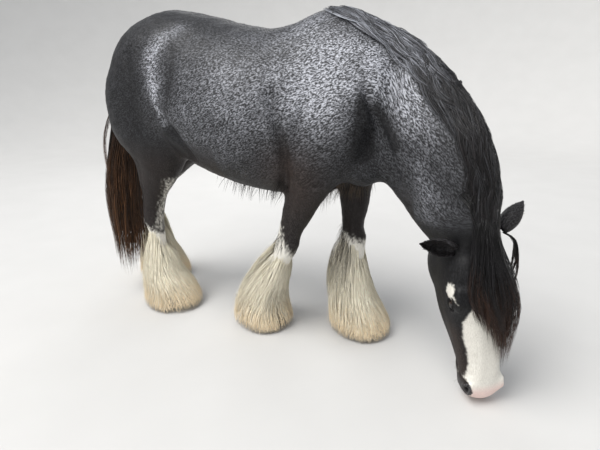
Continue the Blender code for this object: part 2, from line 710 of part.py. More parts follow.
def mane_locks(surface, collection, rng):
    """Locks that part along the crest, most of them to the right."""
    for i in range(MANE_LOCKS):
        part = (i + 0.5) / MANE_LOCKS
        share = MANE_CREST[0] + (MANE_CREST[1] - MANE_CREST[0]) * part
        top, along, left, up = crest_point(share)
        side = 1 if i % 5 == 2 and share < 0.6 else -1
        heading = left * side + along * 0.55 - up * 0.25
        length = (MANE_LENGTH[0] + (MANE_LENGTH[1] - MANE_LENGTH[0]) * share) * rng.uniform(0.85, 1.15)
        root = top + left * side * 0.016
        sway = along * rng.uniform(-0.12, 0.12)
        hug = 0.012 + (0.018 * (i % 2) if side < 0 else 0)
        spots, outs = hanging_path(surface, root, heading, length, hug, MANE_WEIGHT, sway)
        lock("mane_lock", spots, outs, MANE_WIDTH * rng.uniform(0.9, 1.1), MANE_THICKNESS, collection)


def forelock_locks(surface, collection, rng):
    """Locks that fall from between the ears, most of them over the left eye, and end beside the nose."""
    frame = head_frame()
    turn = frame.to_3x3().normalized()
    for i in range(FORELOCK_LOCKS):
        part = (i + 0.5) / FORELOCK_LOCKS
        across = FORELOCK_SPREAD[0] + (FORELOCK_SPREAD[1] - FORELOCK_SPREAD[0]) * part
        layer = i % 2
        root = frame @ Vector((0.015 + 0.022 * layer, 0.040 * across, 0.03))
        heading = turn @ Vector((1.0, 0.62 * across, 0.02))
        length = (FORELOCK_LENGTH + FORELOCK_MORE * min(across + 0.6, 1.0)) * rng.uniform(0.9, 1.1)
        sway = turn @ Vector((0, rng.uniform(-0.08, 0.04), 0))
        hug = 0.024 - 0.010 * layer
        spots, outs = hanging_path(surface, root, heading, length, hug, FORELOCK_WEIGHT, sway, LOCK_STEPS + 1)
        width = FORELOCK_WIDTH * rng.uniform(0.85, 1.15)
        lock("forelock_lock", spots, outs, width, FORELOCK_THICKNESS, collection, 0.5, 0.4)


def bell_point(leg, foot, height, angle, share):
    """A point of the feather's bell at a height and an angle from straight ahead."""
    rise = height / (HIND_BELL if leg.startswith("hind") else 1.0)
    heights = [row[0] for row in BELL][::-1]
    behind, ahead, wide = (float(np.interp(rise, heights, [row[k] for row in BELL][::-1])) for k in (1, 2, 3))
    reach = FEATHER_REACH[leg] * share
    axis = leg_axis(leg, height)
    level = min(height / 0.12, 1.0)
    middle = Vector((foot.x, foot.y, 0)).lerp(axis, level)
    along = math.cos(angle) * reach * (ahead if math.cos(angle) > 0 else behind)
    return Vector((middle.x + along, middle.y + math.sin(angle) * reach * wide, height))


def feather_core(leg, foot, collection):
    """The dense inside of the feather, from under the knee or hock nearly to the hoof."""
    top = 0.385 * (HIND_BELL if leg.startswith("hind") else 1.0)
    heights = np.linspace(top, CORE_LOW, 6)
    sides = 14
    points = []
    for height in heights:
        for j in range(sides):
            points.append(bell_point(leg, foot, float(height), 2 * math.pi * j / sides, CORE_SHARE))
    faces = [tuple(range(sides)), tuple(range(len(points) - sides, len(points)))[::-1]]
    for i in range(len(heights) - 1):
        for j in range(sides):
            k = (j + 1) % sides
            faces.append((i * sides + j, i * sides + k, (i + 1) * sides + k, (i + 1) * sides + j))
    return mesh_object("feather_core", points, faces, collection)


def feather_locks(leg, foot, collection, rng):
    """Tiers of locks over the core, the lowest all round the hoof, that clear the floor."""
    for high, low, half_turn, count, lie in FEATHER_TIERS:
        high *= HIND_BELL if leg.startswith("hind") else 1.0
        for i in range(count):
            spread = (i + 0.5 + rng.uniform(-0.15, 0.15)) / count * 2 - 1
            angle = math.pi + half_turn * spread
            lift = FEATHER_LIFT * (i % 2)
            tip = low + rng.uniform(0.0, 0.010)
            root = high * rng.uniform(0.97, 1.03)
            out = Vector((math.cos(angle), math.sin(angle), 0.25)).normalized()
            spots = []
            outs = []
            for t in FEATHER_SHARES:
                height = root + (tip - root) * t
                rooted = CORE_SHARE - 0.12
                share = rooted + (lie + lift - rooted) * min(3.0 * t, 1.0)
                swing = angle + 0.07 * t * math.sin(2.6 * t + 1.9 * i)
                spots.append(bell_point(leg, foot, height, swing, share))
                outs.append(out)
            girth = 2 * half_turn * FEATHER_REACH[leg] * 0.8 / count
            width = min(girth * 1.15, FEATHER_WIDTH)
            lock("feather_lock", spots, outs, width, FEATHER_THICKNESS, collection, 0.5, 0.35)


def leg_axis(leg, height):
    """The middle of a leg at a height."""
    kind, side = leg.split("_")
    rows = FORELEG[side] if kind == "fore" else HINDLEG[side]
    heights = [row[2] for row in rows][::-1]
    return Vector((
        float(np.interp(height, heights, [row[0] for row in rows][::-1])),
        float(np.interp(height, heights, [row[1] for row in rows][::-1])),
        height,
    ))


def tail_locks(surface, collection, rng):
    """Long locks from both sides and the back of the dock, falling nearly straight."""
    rows = np.array(TAIL_CORE)
    for i in range(TAIL_LOCKS):
        share = (i + 0.5) / TAIL_LOCKS
        height = TAIL_ROOTS[0] + (TAIL_ROOTS[1] - TAIL_ROOTS[0]) * share
        angle = math.pi + TAIL_HALF_TURN * math.sin(2.4 * i + 0.4)
        x = float(np.interp(-height, -rows[1:, 2], rows[1:, 0]))
        y = float(np.interp(-height, -rows[1:, 2], rows[1:, 1]))
        wide = float(np.interp(-height, -rows[1:, 2], rows[1:, 3]))
        deep = float(np.interp(-height, -rows[1:, 2], rows[1:, 4]))
        out = Vector((math.cos(angle), math.sin(angle), 0))
        root = Vector((x + out.x * deep * 0.6, y + out.y * wide * 0.6, height))
        low = rng.uniform(*TAIL_LONG_TIPS) if i % 3 else rng.uniform(*TAIL_SHORT_TIPS)
        spots = [root]
        outs = [out]
        steps = LOCK_STEPS + 1
        for j in range(1, steps + 1):
            t = j / steps
            flare = math.sin(math.pi * min(t * 1.15, 1.0)) * TAIL_FLARE + 0.010
            z = height + (low - height) * t
            middle = TAIL_MIDDLE[0].lerp(TAIL_MIDDLE[1], t)
            middle.z = z
            start = Vector((root.x, root.y, z))
            blend = min(t * 1.6, 1.0)
            spot = start.lerp(middle + Vector((out.x * TAIL_SPREAD[0], out.y * TAIL_SPREAD[1], 0)), blend)
            spot += out * flare
            spot += Vector((0.006, 0.010, 0)) * math.sin(3 * t + 1.7 * i)
            near, face_out, _, _ = surface.find_nearest(spot)
            rise = (spot - near).dot(face_out)
            if -0.05 < rise < 0.012 and z > 0.6:
                spot += face_out * (0.012 - rise)
            spots.append(spot)
            outs.append(out)
        width = TAIL_WIDTH * rng.uniform(0.85, 1.15)
        lock("tail_lock", spots, outs, width, TAIL_THICKNESS, collection, 0.8, 0.36)


def hoof(name, foot, collection):
    """A hoof with a flat sole, upright heels and a coronet that falls to the rear."""
    mesh = bpy.data.meshes.new(name)
    shape = bmesh.new()
    bmesh.ops.create_cone(
        shape, cap_ends=True, segments=22, radius1=HOOF_SOLE_RADIUS, radius2=HOOF_TOP_RADIUS, depth=HOOF_HEIGHT
    )
    for vert in shape.verts:
        if vert.co.z > 0:
            vert.co.z += vert.co.x * HOOF_TILT
            vert.co.x += HOOF_LEAN
        vert.co.y *= 0.97
    bmesh.ops.translate(shape, verts=shape.verts, vec=foot + Vector((0, 0, HOOF_HEIGHT / 2)))
    shape.to_mesh(mesh)
    shape.free()
    obj = bpy.data.objects.new(name, mesh)
    collection.objects.link(obj)
    return obj


def coronet_outline(foot):
    """The part of the x, z plane above the hoof's slanted top."""
    rise = HOOF_HEIGHT + GAP
    lean = foot.x
    slope = HOOF_TILT
    near, far = lean - 0.3, lean + 0.3
    return [(near, rise - 0.3 * slope), (far, rise + 0.3 * slope), (far, 1.2), (near, 1.2)]


def ear(name, base, axis, opening, head, collection):
    """A leaf-shaped ear, hollowed to a cup and closed at its root."""
    frame = head_frame()
    turn = frame.to_3x3().normalized()
    root = frame @ base
    along = (turn @ axis).normalized()
    face = turn @ opening
    face = (face - along * face.dot(along)).normalized()
    leaf = []
    scoop = []
    for i in range(8):
        t = i / 7
        width = EAR_WIDTH * math.sin(math.pi * (0.19 + 0.79 * t) ** 0.95) ** 0.8
        depth = 0.8 * width
        middle = root + along * EAR_LENGTH * t - face * EAR_BEND * t * t
        leaf.append((*middle, width, depth, depth, 2.0, 0))
        if t > 0.1:
            low = middle + face * 0.35 * depth + along * EAR_LENGTH * 0.02
            scoop.append((*low, 0.80 * width, 1.25 * depth, 1.1 * depth, 2.0, 0))
    obj = loft(name, leaf, collection, left=face.cross(along), per_span=1, sides=12)
    cuts = new_collection("cuts", hidden=True)
    loft("scoop", scoop[:-1], cuts, left=face.cross(along), per_span=1, sides=10)
    combine(obj, cuts, "DIFFERENCE")
    return carve(obj, [head])


def eye(name, sign, collection):
    """An eyeball that fills its socket behind the lids."""
    return ball(name, head_frame() @ mirrored(EYE_PLACE, sign), [EYE_RADIUS] * 3, collection, segments=12)


def eye_sockets(head):
    """Gives the head its lids: a shell over each eyeball with an almond opening."""
    frame = head_frame()
    turn = frame.to_3x3().normalized()
    lids = new_collection("lids", hidden=True)
    for sign in (-1, 1):
        centre = frame @ mirrored(EYE_PLACE, sign)
        ball("lid", centre, [EYE_RADIUS + LID_THICKNESS] * 3, lids, turn=turn, segments=12)
    combine(head, lids, "UNION")
    cuts = new_collection("cuts", hidden=True)
    for sign in (-1, 1):
        centre = frame @ mirrored(EYE_PLACE, sign)
        ball("socket", centre, [EYE_RADIUS + CLEARANCE] * 3, cuts, segments=12)
        outward = turn @ Vector((0, sign, 0))
        ball("almond", centre + outward * EYE_RADIUS, LID_OPENING, cuts, turn=turn, segments=10)
    combine(head, cuts, "DIFFERENCE")


def mouth_and_nostrils(head):
    """Cuts the line between the lips and a pit into each nostril."""
    frame = head_frame()
    turn = frame.to_3x3().normalized()
    surface = surface_of([head])
    cuts = new_collection("cuts", hidden=True)
    for sign in (-1, 1):
        tilt = Matrix.Rotation(sign * NOSTRIL_TURN, 3, "Z") @ Matrix.Rotation(-NOSTRIL_TURN, 3, "Y")
        ball("nostril", frame @ mirrored(NOSTRIL_PLACE, sign), NOSTRIL_RADII, cuts, turn=turn @ tilt, segments=10)
    rows = []
    for i in range(11):
        angle = MOUTH_HALF_TURN * (i / 5 - 1)
        ahead = Vector((math.cos(angle), math.sin(angle), 0))
        heart = Vector((MOUTH_CENTRE[0] + MOUTH_BEND[0] * ahead.x, 0, MOUTH_CENTRE[1] + MOUTH_BEND[1] * ahead.x))
        start = frame @ heart
        hit, _, _, _ = surface.ray_cast(start, (turn @ ahead).normalized())
        thin = 1 - 0.6 * abs(i / 5 - 1) ** 3
        rows.append((*hit, LIP_GAP * thin, MOUTH_DEPTH * thin, MOUTH_DEPTH * thin, 2.0, 0))
    loft("lips", rows, cuts, left=turn @ Vector((0.3, 0, 1)), per_span=1, sides=5)
    combine(head, cuts, "DIFFERENCE")


def finish(obj, slot, name):
    """Names a node, shades it smooth but for its sharp edges, and gives it its material."""
    obj.name = name
    obj.data.name = name
    obj.data.shade_smooth()
    obj.data.set_sharp_from_angle(angle=SHARP_ANGLE)
    obj.data.materials.clear()
    obj.data.materials.append(material(slot))


def slot_of(name):
    """The material slot of a node."""
    for start, slot in (("hoof", "hoof_horn"), ("eye", "eye"), ("ear", "black_hair"), ("tail", "brown_tail")):
        if name.startswith(start):
            return slot
    if name in ("head", "neck"):
        return "black_hair"
    return "white_feather" if name.endswith("lower") else "roan_coat"


def centre_on_origin(objects):
    """Moves the whole so that the middle of its box stands over the origin."""
    points = np.array([v.co for obj in objects for v in obj.data.vertices])
    middle = (points.min(axis=0) + points.max(axis=0)) / 2
    for obj in objects:
        obj.data.transform(Matrix.Translation((-middle[0], -middle[1], 0)))


def main():
    clear_scene()
    parts = new_collection("gypsy_vanner_horse")
    rng = np.random.default_rng(7)

    body = fused("body", body_forms, BODY_VOXEL, BODY_FACES, parts)
    head_body = fused("head_body", head_forms, HEAD_VOXEL, HEAD_FACES, parts)

    # Flesh, parted
    pieces = {}
    outline = inset(HEAD_OUTLINE, GAP)
    pieces["head"] = region("head", head_body, prism("cut", outline, -0.5, 0.5, parts, head_frame()), parts)
    outline = inset(NECK_OUTLINE, GAP)
    pieces["neck"] = region("neck", body, prism("cut", outline, -0.8, 0.8, parts), parts)
    cuts = new_collection("cuts", hidden=True)
    prism("cut", HEAD_OUTLINE, -0.5, 0.5, cuts, head_frame())
    combine(pieces["neck"], cuts, "DIFFERENCE")
    torso_cuts = new_collection("torso_cuts", hidden=True)
    prism("cut", NECK_OUTLINE, -0.8, 0.8, torso_cuts)
    feet = {f"fore_{side}": foot for side, foot in FORE_FEET.items()}
    feet.update({f"hind_{side}": foot for side, foot in HIND_FEET.items()})
    for leg, outline in LEG_OUTLINES.items():
        kind, side = leg.split("_")
        sign = 1 if side == "left" else -1
        near, far = sign * LEG_INNER, sign * 0.6
        prism("cut", outline, near, far, torso_cuts)
        whole = region(leg, body, prism("cut", inset(outline, GAP), near + sign * GAP, far, parts), parts)
        level = KNEE_CUT if kind == "fore" else HOCK_CUT
        above = [(-2, level + GAP), (2, level + GAP), (2, 2), (-2, 2)]
        below = [(-2, -1), (2, -1), (2, level), (-2, level)]
        pieces[f"{kind}leg_{side}"] = region("upper", whole, prism("cut", above, -1, 1, parts), parts)
        lower = region("lower", whole, prism("cut", below, -1, 1, parts), parts)
        shank = region("shank", lower, prism("cut", coronet_outline(feet[leg]), -1, 1, parts), parts)
        pieces[f"{kind}leg_{side}_lower"] = shank
        bpy.data.objects.remove(whole, do_unlink=True)
        bpy.data.objects.remove(lower, do_unlink=True)
    pieces["torso"] = copy_of("torso", body, parts)
    combine(pieces["torso"], torso_cuts, "DIFFERENCE")
    bpy.data.objects.remove(body, do_unlink=True)
    bpy.data.objects.remove(head_body, do_unlink=True)

    # Hooves, eyes and ears
    for leg, foot in feet.items():
        pieces[f"hoof_{leg}"] = hoof(f"hoof_{leg}", foot, parts)
    head = pieces["head"]
    mouth_and_nostrils(head)
    eye_sockets(head)
    for side, sign in (("right", -1), ("left", 1)):
        pieces[f"eye_{side}"] = eye(f"eye_{side}", sign, parts)
    for side, places in EARS.items():
        pieces[f"ear_{side}"] = ear(f"ear_{side}", *places, head, parts)

    # Feather on the lower legs
    for leg, foot in feet.items():
        kind, side = leg.split("_")
        shank = pieces[f"{kind}leg_{side}_lower"]
        locks = new_collection("locks", hidden=True)
        feather_core(leg, foot, locks)
        feather_locks(leg, foot, locks, rng)
        combine(shank, locks, "UNION", "MANIFOLD")
        carve(shank, [pieces[f"hoof_{leg}"]])

    # Tail
    tail = loft("tail", TAIL_CORE, parts, sides=10, per_span=2)
    surface = surface_of([pieces["torso"], pieces["hindleg_left"], pieces["hindleg_right"]])
    locks = new_collection("locks", hidden=True)
    tail_locks(surface, locks, rng)
    combine(tail, locks, "UNION", "MANIFOLD")
    carve(tail, [pieces["torso"], pieces["hindleg_left"], pieces["hindleg_right"], pieces["hindleg_left_lower"]])
    pieces["tail"] = tail

    # Mane and forelock
    surface = surface_of([pieces[n] for n in ("torso", "neck", "head", "ear_left", "ear_right")])
    locks = new_collection("locks", hidden=True)
    mane_locks(surface, locks, rng)
    combine(pieces["neck"], locks, "UNION", "MANIFOLD")
    carve(pieces["neck"], [pieces[n] for n in ("torso", "head", "ear_left", "ear_right")])
    surface = surface_of([pieces[n] for n in ("neck", "head", "ear_left", "ear_right")])
    locks = new_collection("locks", hidden=True)
    forelock_locks(surface, locks, rng)
    combine(head, locks, "UNION", "MANIFOLD")
    carve(head, [pieces[n] for n in ("neck", "ear_left", "ear_right")])

    for name, obj in pieces.items():
        finish(obj, slot_of(name), name)
    centre_on_origin(pieces.values())


main()
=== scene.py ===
import math

import bmesh
import bpy
import numpy as np
from mathutils import Matrix, Vector
from mathutils.bvhtree import BVHTree


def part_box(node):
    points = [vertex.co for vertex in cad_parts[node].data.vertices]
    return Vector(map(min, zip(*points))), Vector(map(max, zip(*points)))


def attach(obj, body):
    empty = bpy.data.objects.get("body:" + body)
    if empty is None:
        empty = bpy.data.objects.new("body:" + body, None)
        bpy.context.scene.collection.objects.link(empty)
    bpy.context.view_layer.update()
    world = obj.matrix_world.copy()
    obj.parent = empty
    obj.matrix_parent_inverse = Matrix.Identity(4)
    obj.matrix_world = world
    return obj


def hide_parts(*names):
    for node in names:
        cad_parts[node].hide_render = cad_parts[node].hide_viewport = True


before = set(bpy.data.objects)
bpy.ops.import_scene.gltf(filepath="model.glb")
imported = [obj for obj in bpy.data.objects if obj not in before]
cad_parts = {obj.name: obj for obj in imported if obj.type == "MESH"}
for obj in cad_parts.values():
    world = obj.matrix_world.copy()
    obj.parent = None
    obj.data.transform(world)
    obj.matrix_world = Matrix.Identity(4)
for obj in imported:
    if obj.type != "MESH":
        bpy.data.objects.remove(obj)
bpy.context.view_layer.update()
rng = np.random.default_rng(11)


def unit(v):  # every vector divided by its length
    return v / np.maximum(np.linalg.norm(v, axis=-1, keepdims=True), 1e-9)


def soft(x, low, high):  # smooth step: 0 at low, 1 at high, 3t^2 - 2t^3 between
    t = np.clip((x - low) / (high - low), 0, 1)
    return t * t * (3 - 2 * t)


# Head space: X poll to nose, Y to the left ear, Z out of the forehead
head = {"poll": (1.040, -0.199, 0.676), "axis": (0.178, -0.031, -0.984), "left": (0.777, 0.618, 0.121),
        "scale": 0.655 / 0.61}
poll = np.array(head["poll"])
headAxis = unit(np.array(head["axis"]))
headLeft = np.array(head["left"])
headLeft = unit(headLeft - headAxis * (headLeft @ headAxis))
headTurn = np.stack([headAxis, headLeft, np.cross(headAxis, headLeft)])
eyes = {"place": (0.240, 0.087, -0.030), "radius": 0.0215}


def fromHead(p):  # head space to the horse's: poll + scale * (x axis + y left + z out)
    return poll + head["scale"] * (np.asarray(p, float) @ headTurn)


def toHead(p):  # the horse's space to head space, the inverse of the above
    return (np.asarray(p) - poll) @ headTurn.T / head["scale"]


def mirrored(p, sign):
    return np.array(p, float) * (1, sign, 1)


eyeBox = np.array([list(corner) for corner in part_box("eye_right")])
# the frame stands centred, the tables don't
shift = eyeBox.mean(axis=0) - fromHead(mirrored(eyes["place"], -1))
print("frame loaded, tables shifted by", shift.round(4))

# Forms of the flesh
def mm(table):  # a table of thousandths as metres, however it is nested
    if isinstance(table, dict):
        return {key: mm(rows) for key, rows in table.items()}
    return [mm(row) for row in table] if isinstance(table, (list, tuple)) else table / 1000


# A row: x, y, z, half width, reach up, reach down, squareness, egg
trunkRows = mm([
    (-748, 0, 1120, 65, 75, 120, 2100, 0), (-716, 0, 1120, 145, 125, 190, 2200, 0),
    (-650, 0, 1125, 228, 214, 270, 2300, 0), (-564, 0, 1130, 288, 298, 315, 2400, -20),
    (-440, 0, 1120, 312, 354, 320, 2400, -30), (-280, 0, 1110, 318, 343, 315, 2300, -40),
    (-120, 0, 1080, 338, 330, 345, 2200, -50), (40, 0, 1060, 345, 320, 370, 2200, -50),
    (180, 0, 1060, 330, 307, 385, 2200, -80), (300, 0, 1070, 288, 322, 395, 2100, -140),
    (420, 0, 1080, 248, 345, 395, 2100, -180), (520, 0, 1060, 232, 290, 360, 2100, -100),
    (610, 0, 1020, 205, 225, 280, 2100, 0), (670, 0, 990, 140, 140, 160, 2000, 0)])
neckRows = mm([
    (340, 0, 1160, 170, 200, 260, 2100, -200), (460, 0, 1130, 172, 256, 290, 2100, -260),
    (590, -5, 1080, 158, 256, 275, 2100, -300), (710, -30, 1000, 134, 248, 235, 2100, -320),
    (812, -65, 900, 120, 244, 210, 2100, -320), (893, -98, 790, 110, 232, 195, 2100, -280),
    (950, -124, 690, 100, 196, 175, 2100, -180), (985, -142, 610, 82, 130, 130, 2000, -50),
    (1002, -152, 560, 50, 70, 70, 2000, 0)])
headRows = mm([  # in head space
    (-35, 0, -65, 45, 35, 50, 2000, 0), (10, 0, -72, 75, 65, 80, 2100, 0),
    (80, 0, -88, 98, 104, 135, 2200, 50), (150, 0, -92, 108, 128, 158, 2300, 120),
    (220, 0, -92, 109, 132, 150, 2400, 140), (290, 0, -86, 102, 113, 136, 2400, 50),
    (360, 0, -80, 90, 94, 108, 2400, 0), (430, 0, -76, 77, 79, 82, 2400, 0),
    (500, 0, -74, 70, 70, 62, 2400, 0), (550, 0, -77, 72, 65, 62, 2300, -20),
    (590, 0, -84, 64, 54, 54, 2200, -50), (612, 0, -90, 42, 34, 36, 2100, 0)])
legRows = mm({
    "fore_right": [
        (410, -80, 1280, 60, 90, 90, 2200, 0), (455, -120, 1160, 92, 140, 160, 2200, 0),
        (480, -146, 1040, 110, 160, 190, 2200, 0), (455, -158, 930, 110, 160, 165, 2200, 0),
        (390, -155, 810, 90, 120, 110, 2200, 0), (345, -145, 710, 74, 88, 88, 2200, 0),
        (300, -132, 610, 60, 70, 70, 2200, 0), (262, -122, 520, 50, 56, 56, 2200, 0),
        (236, -115, 440, 54, 56, 58, 2300, 0), (206, -101, 365, 42, 40, 48, 2200, 0),
        (170, -87, 270, 37, 36, 44, 2200, 0), (122, -65, 175, 43, 44, 56, 2200, 0),
        (100, -56, 120, 44, 44, 48, 2200, 0), (87, -52, 70, 52, 52, 50, 2200, 0)],
    "fore_left": [
        (410, 80, 1280, 60, 90, 90, 2200, 0), (460, 120, 1160, 92, 140, 160, 2200, 0),
        (490, 146, 1040, 110, 160, 190, 2200, 0), (482, 158, 930, 110, 158, 165, 2200, 0),
        (455, 150, 810, 90, 120, 110, 2200, 0), (455, 142, 710, 74, 88, 88, 2200, 0),
        (460, 132, 610, 60, 70, 70, 2200, 0), (458, 122, 520, 50, 56, 56, 2200, 0),
        (475, 114, 440, 54, 56, 58, 2300, 0), (485, 110, 365, 42, 40, 48, 2200, 0),
        (500, 108, 270, 37, 36, 44, 2200, 0), (520, 107, 175, 43, 44, 56, 2200, 0),
        (534, 106, 120, 44, 44, 48, 2200, 0), (543, 105, 70, 52, 52, 50, 2200, 0)],
    "hind_right": [
        (-480, -120, 1280, 110, 140, 130, 2200, 0), (-500, -150, 1150, 150, 220, 188, 2400, 0),
        (-490, -160, 1000, 150, 248, 206, 2400, 0), (-455, -165, 880, 130, 200, 180, 2400, 0),
        (-460, -160, 780, 98, 140, 130, 2300, 0), (-500, -152, 670, 70, 90, 95, 2200, 0),
        (-530, -145, 570, 52, 60, 65, 2200, 0), (-546, -140, 490, 52, 58, 63, 2200, 0),
        (-540, -135, 400, 42, 48, 46, 2200, 0), (-532, -128, 300, 38, 40, 44, 2200, 0),
        (-522, -120, 190, 44, 46, 56, 2200, 0), (-498, -115, 130, 44, 46, 48, 2200, 0),
        (-480, -112, 70, 52, 52, 50, 2200, 0)],
    "hind_left": [
        (-480, 120, 1280, 110, 140, 130, 2200, 0), (-515, 150, 1150, 150, 210, 185, 2400, 0),
        (-540, 158, 1000, 150, 230, 190, 2400, 0), (-570, 162, 880, 130, 180, 170, 2400, 0),
        (-640, 162, 780, 98, 125, 130, 2300, 0), (-725, 162, 670, 70, 85, 95, 2200, 0),
        (-790, 160, 575, 52, 60, 65, 2200, 0), (-824, 158, 490, 52, 58, 63, 2200, 0),
        (-835, 158, 400, 42, 48, 46, 2200, 0), (-840, 158, 300, 38, 40, 44, 2200, 0),
        (-842, 160, 190, 44, 46, 56, 2200, 0), (-822, 160, 130, 44, 46, 48, 2200, 0),
        (-805, 160, 70, 52, 52, 50, 2200, 0)]})
feet = {"fore_right": (0.092, -0.052), "fore_left": (0.548, 0.105), "hind_right": (-0.475, -0.112),
        "hind_left": (-0.800, 0.160)}
masses = mm([((-545, 115, 1220), (170, 130, 150)), ((575, 95, 880), (105, 95, 140))])
headMasses = mm([  # in head space, on both sides: brow, cheek, nostril wing, lid dome
    ((217, 80, -6), (48, 30, 30)), ((148, 68, -135), (105, 38, 100)),
    ((553, 50, -45), (36, 25, 30)), ((240, 87, -30), (22.5, 22.5, 22.5))])
midMasses = mm([((570, 0, -132), (30, 34, 20)), ((595, 0, -85), (28, 46, 32))])
hocks = mm([(-580, -143, 530), (-838, 158, 535)])
tailRows = mm([
    (-620, 0, 1320, 30, 30, 30, 2000, 0), (-698, 0, 1315, 42, 40, 40, 2000, 0),
    (-763, -4, 1250, 50, 42, 42, 2000, 0), (-793, -20, 1130, 62, 46, 46, 2000, 0),
    (-804, -45, 1000, 70, 50, 50, 2000, 0), (-808, -62, 850, 66, 46, 46, 2000, 0),
    (-808, -75, 720, 45, 30, 30, 2000, 0)])
# The bell of the feather: height, then reach behind, ahead and half width
bells = mm({
    "fore": [(0, 168, 118, 134), (20, 178, 120, 138), (70, 184, 112, 136), (130, 184, 86, 125),
             (200, 180, 62, 105), (280, 162, 52, 85), (350, 138, 47, 70), (400, 120, 45, 62),
             (450, 100, 45, 56), (500, 80, 45, 52)],
    "hind": [(0, 164, 152, 144), (20, 172, 154, 148), (70, 172, 140, 144), (130, 155, 120, 130),
             (200, 128, 90, 105), (280, 105, 74, 80), (350, 85, 62, 62), (400, 66, 54, 52),
             (450, 66, 54, 52), (500, 68, 56, 54)]})


def smoothRows(rows, perSpan):  # Hermite spans: slopes from neighbours, spaced by the distance between rows
    rows = np.array(rows, float)
    at = np.concatenate([[0], np.cumsum(np.linalg.norm(np.diff(rows[:, :3], axis=0), axis=1))])
    slope = np.gradient(rows, at, axis=0)
    t = np.linspace(0, 1, perSpan, endpoint=False)[None, :, None]
    span = np.diff(at)[:, None, None]
    made = ((2 * t**3 - 3 * t**2 + 1) * rows[:-1, None] + (t**3 - 2 * t**2 + t) * span * slope[:-1, None]
            + (3 * t**2 - 2 * t**3) * rows[1:, None] + (t**3 - t**2) * span * slope[1:, None])
    return np.vstack([made.reshape(-1, rows.shape[1]), rows[-1:]])


def loft(rows, left=(0, 1, 0), leftEnd=None, perSpan=4, sides=28):
    # superellipse sections |cos|^(2/n), |sin|^(2/n) round a smooth spine; up is along x left
    rows = smoothRows(rows, perSpan)
    along = unit(np.gradient(rows[:, :3], axis=0))
    share = np.linspace(0, 1, len(rows))[:, None]
    side = unit(np.array(left, float) * (1 - share)
                + np.array(left if leftEnd is None else leftEnd, float) * share)
    up = unit(np.cross(along, side))
    side = np.cross(up, along)
    angle = np.linspace(0, 2 * np.pi, sides, endpoint=False)
    power = 2 / rows[:, 6:7]
    across = np.sign(np.cos(angle)) * np.abs(np.cos(angle)) ** power
    rise = np.sign(np.sin(angle)) * np.abs(np.sin(angle)) ** power
    wide = rows[:, 3:4] * (1 + rows[:, 7:8] * rise) * across
    tall = np.where(rise > 0, rows[:, 4:5], rows[:, 5:6]) * rise
    return rows[:, None, :3] + side[:, None] * wide[..., None] + up[:, None] * tall[..., None]


def ball(centre, radii, rings=14, sides=20):  # an ellipsoid: rings by cos and sin of latitude
    a = np.linspace(0.03, np.pi - 0.03, rings)[:, None]
    b = np.linspace(0, 2 * np.pi, sides, endpoint=False)[None]
    grid = np.stack([-np.cos(a) + 0 * b, np.sin(a) * np.cos(b), np.sin(a) * np.sin(b)], axis=-1)
    return np.array(centre) + grid * np.array(radii)


def gridQuads(rows, cols, wrapRows=False):
    # quads between neighbouring rows of a grid that wraps in its columns
    i = np.arange(rows if wrapRows else rows - 1)[:, None]
    j = np.arange(cols)[None]
    k = (j + 1) % cols
    n = (i + 1) % rows
    return np.stack([i * cols + j, n * cols + j, n * cols + k, i * cols + k], axis=-1).reshape(-1, 4)


def meshOf(name, points, quads, tris=None):  # a mesh from whole arrays of points, quads and triangles
    tris = np.zeros((0, 3), int) if tris is None else tris
    corners = np.concatenate([quads.ravel(), tris.ravel()]).astype(np.int32)
    starts = np.concatenate([np.arange(len(quads)) * 4, len(quads) * 4 + np.arange(len(tris)) * 3])
    mesh = bpy.data.meshes.new(name)
    mesh.vertices.add(len(points))
    mesh.vertices.foreach_set("co", np.ascontiguousarray(points, np.float32).ravel())
    mesh.loops.add(len(corners))
    mesh.loops.foreach_set("vertex_index", corners)
    mesh.polygons.add(len(starts))
    mesh.polygons.foreach_set("loop_start", starts.astype(np.int32))
    mesh.update(calc_edges=True)
    mesh.validate()
    mesh.shade_smooth()
    obj = bpy.data.objects.new(name, mesh)
    bpy.context.scene.collection.objects.link(obj)
    return obj


def closedGrid(name, grid):  # a grid of rings with a point at each end
    rows, cols = grid.shape[:2]
    points = np.vstack([grid.reshape(-1, 3), grid[0].mean(axis=0), grid[-1].mean(axis=0)])
    j = np.arange(cols)
    k = (j + 1) % cols
    last = (rows - 1) * cols
    first = np.stack([np.full(cols, rows * cols), j, k], axis=-1)
    end = np.stack([np.full(cols, rows * cols + 1), last + k, last + j], axis=-1)
    return meshOf(name, points, gridQuads(rows, cols), np.vstack([first, end]))


def outward(obj):  # recalculates a closed piece's normals so that its faces point out
    shape = bmesh.new()
    shape.from_mesh(obj.data)
    bmesh.ops.recalc_face_normals(shape, faces=shape.faces)
    shape.to_mesh(obj.data)
    shape.free()
    return obj


def pointsOf(mesh):
    points = np.empty(len(mesh.vertices) * 3, np.float32)
    mesh.vertices.foreach_get("co", points)
    return points.reshape(-1, 3).astype(float)


def normalsOf(mesh):
    normals = np.empty(len(mesh.vertices) * 3, np.float32)
    mesh.vertex_normals.foreach_get("vector", normals)
    return normals.reshape(-1, 3).astype(float)


def setPoints(mesh, points):
    mesh.vertices.foreach_set("co", points.astype(np.float32).ravel())
    mesh.update()


def setTone(mesh, name, values):  # a colour of four numbers on every vertex
    if values.shape[1] < 4:
        values = np.hstack([values, np.ones((len(values), 4 - values.shape[1]))])
    layer = mesh.attributes.new(name, "FLOAT_COLOR", "POINT")
    layer.data.foreach_set("color", values.astype(np.float32).ravel())


def setVectors(mesh, name, values):  # three numbers on every vertex
    layer = mesh.attributes.new(name, "FLOAT_VECTOR", "POINT")
    layer.data.foreach_set("vector", values.astype(np.float32).ravel())


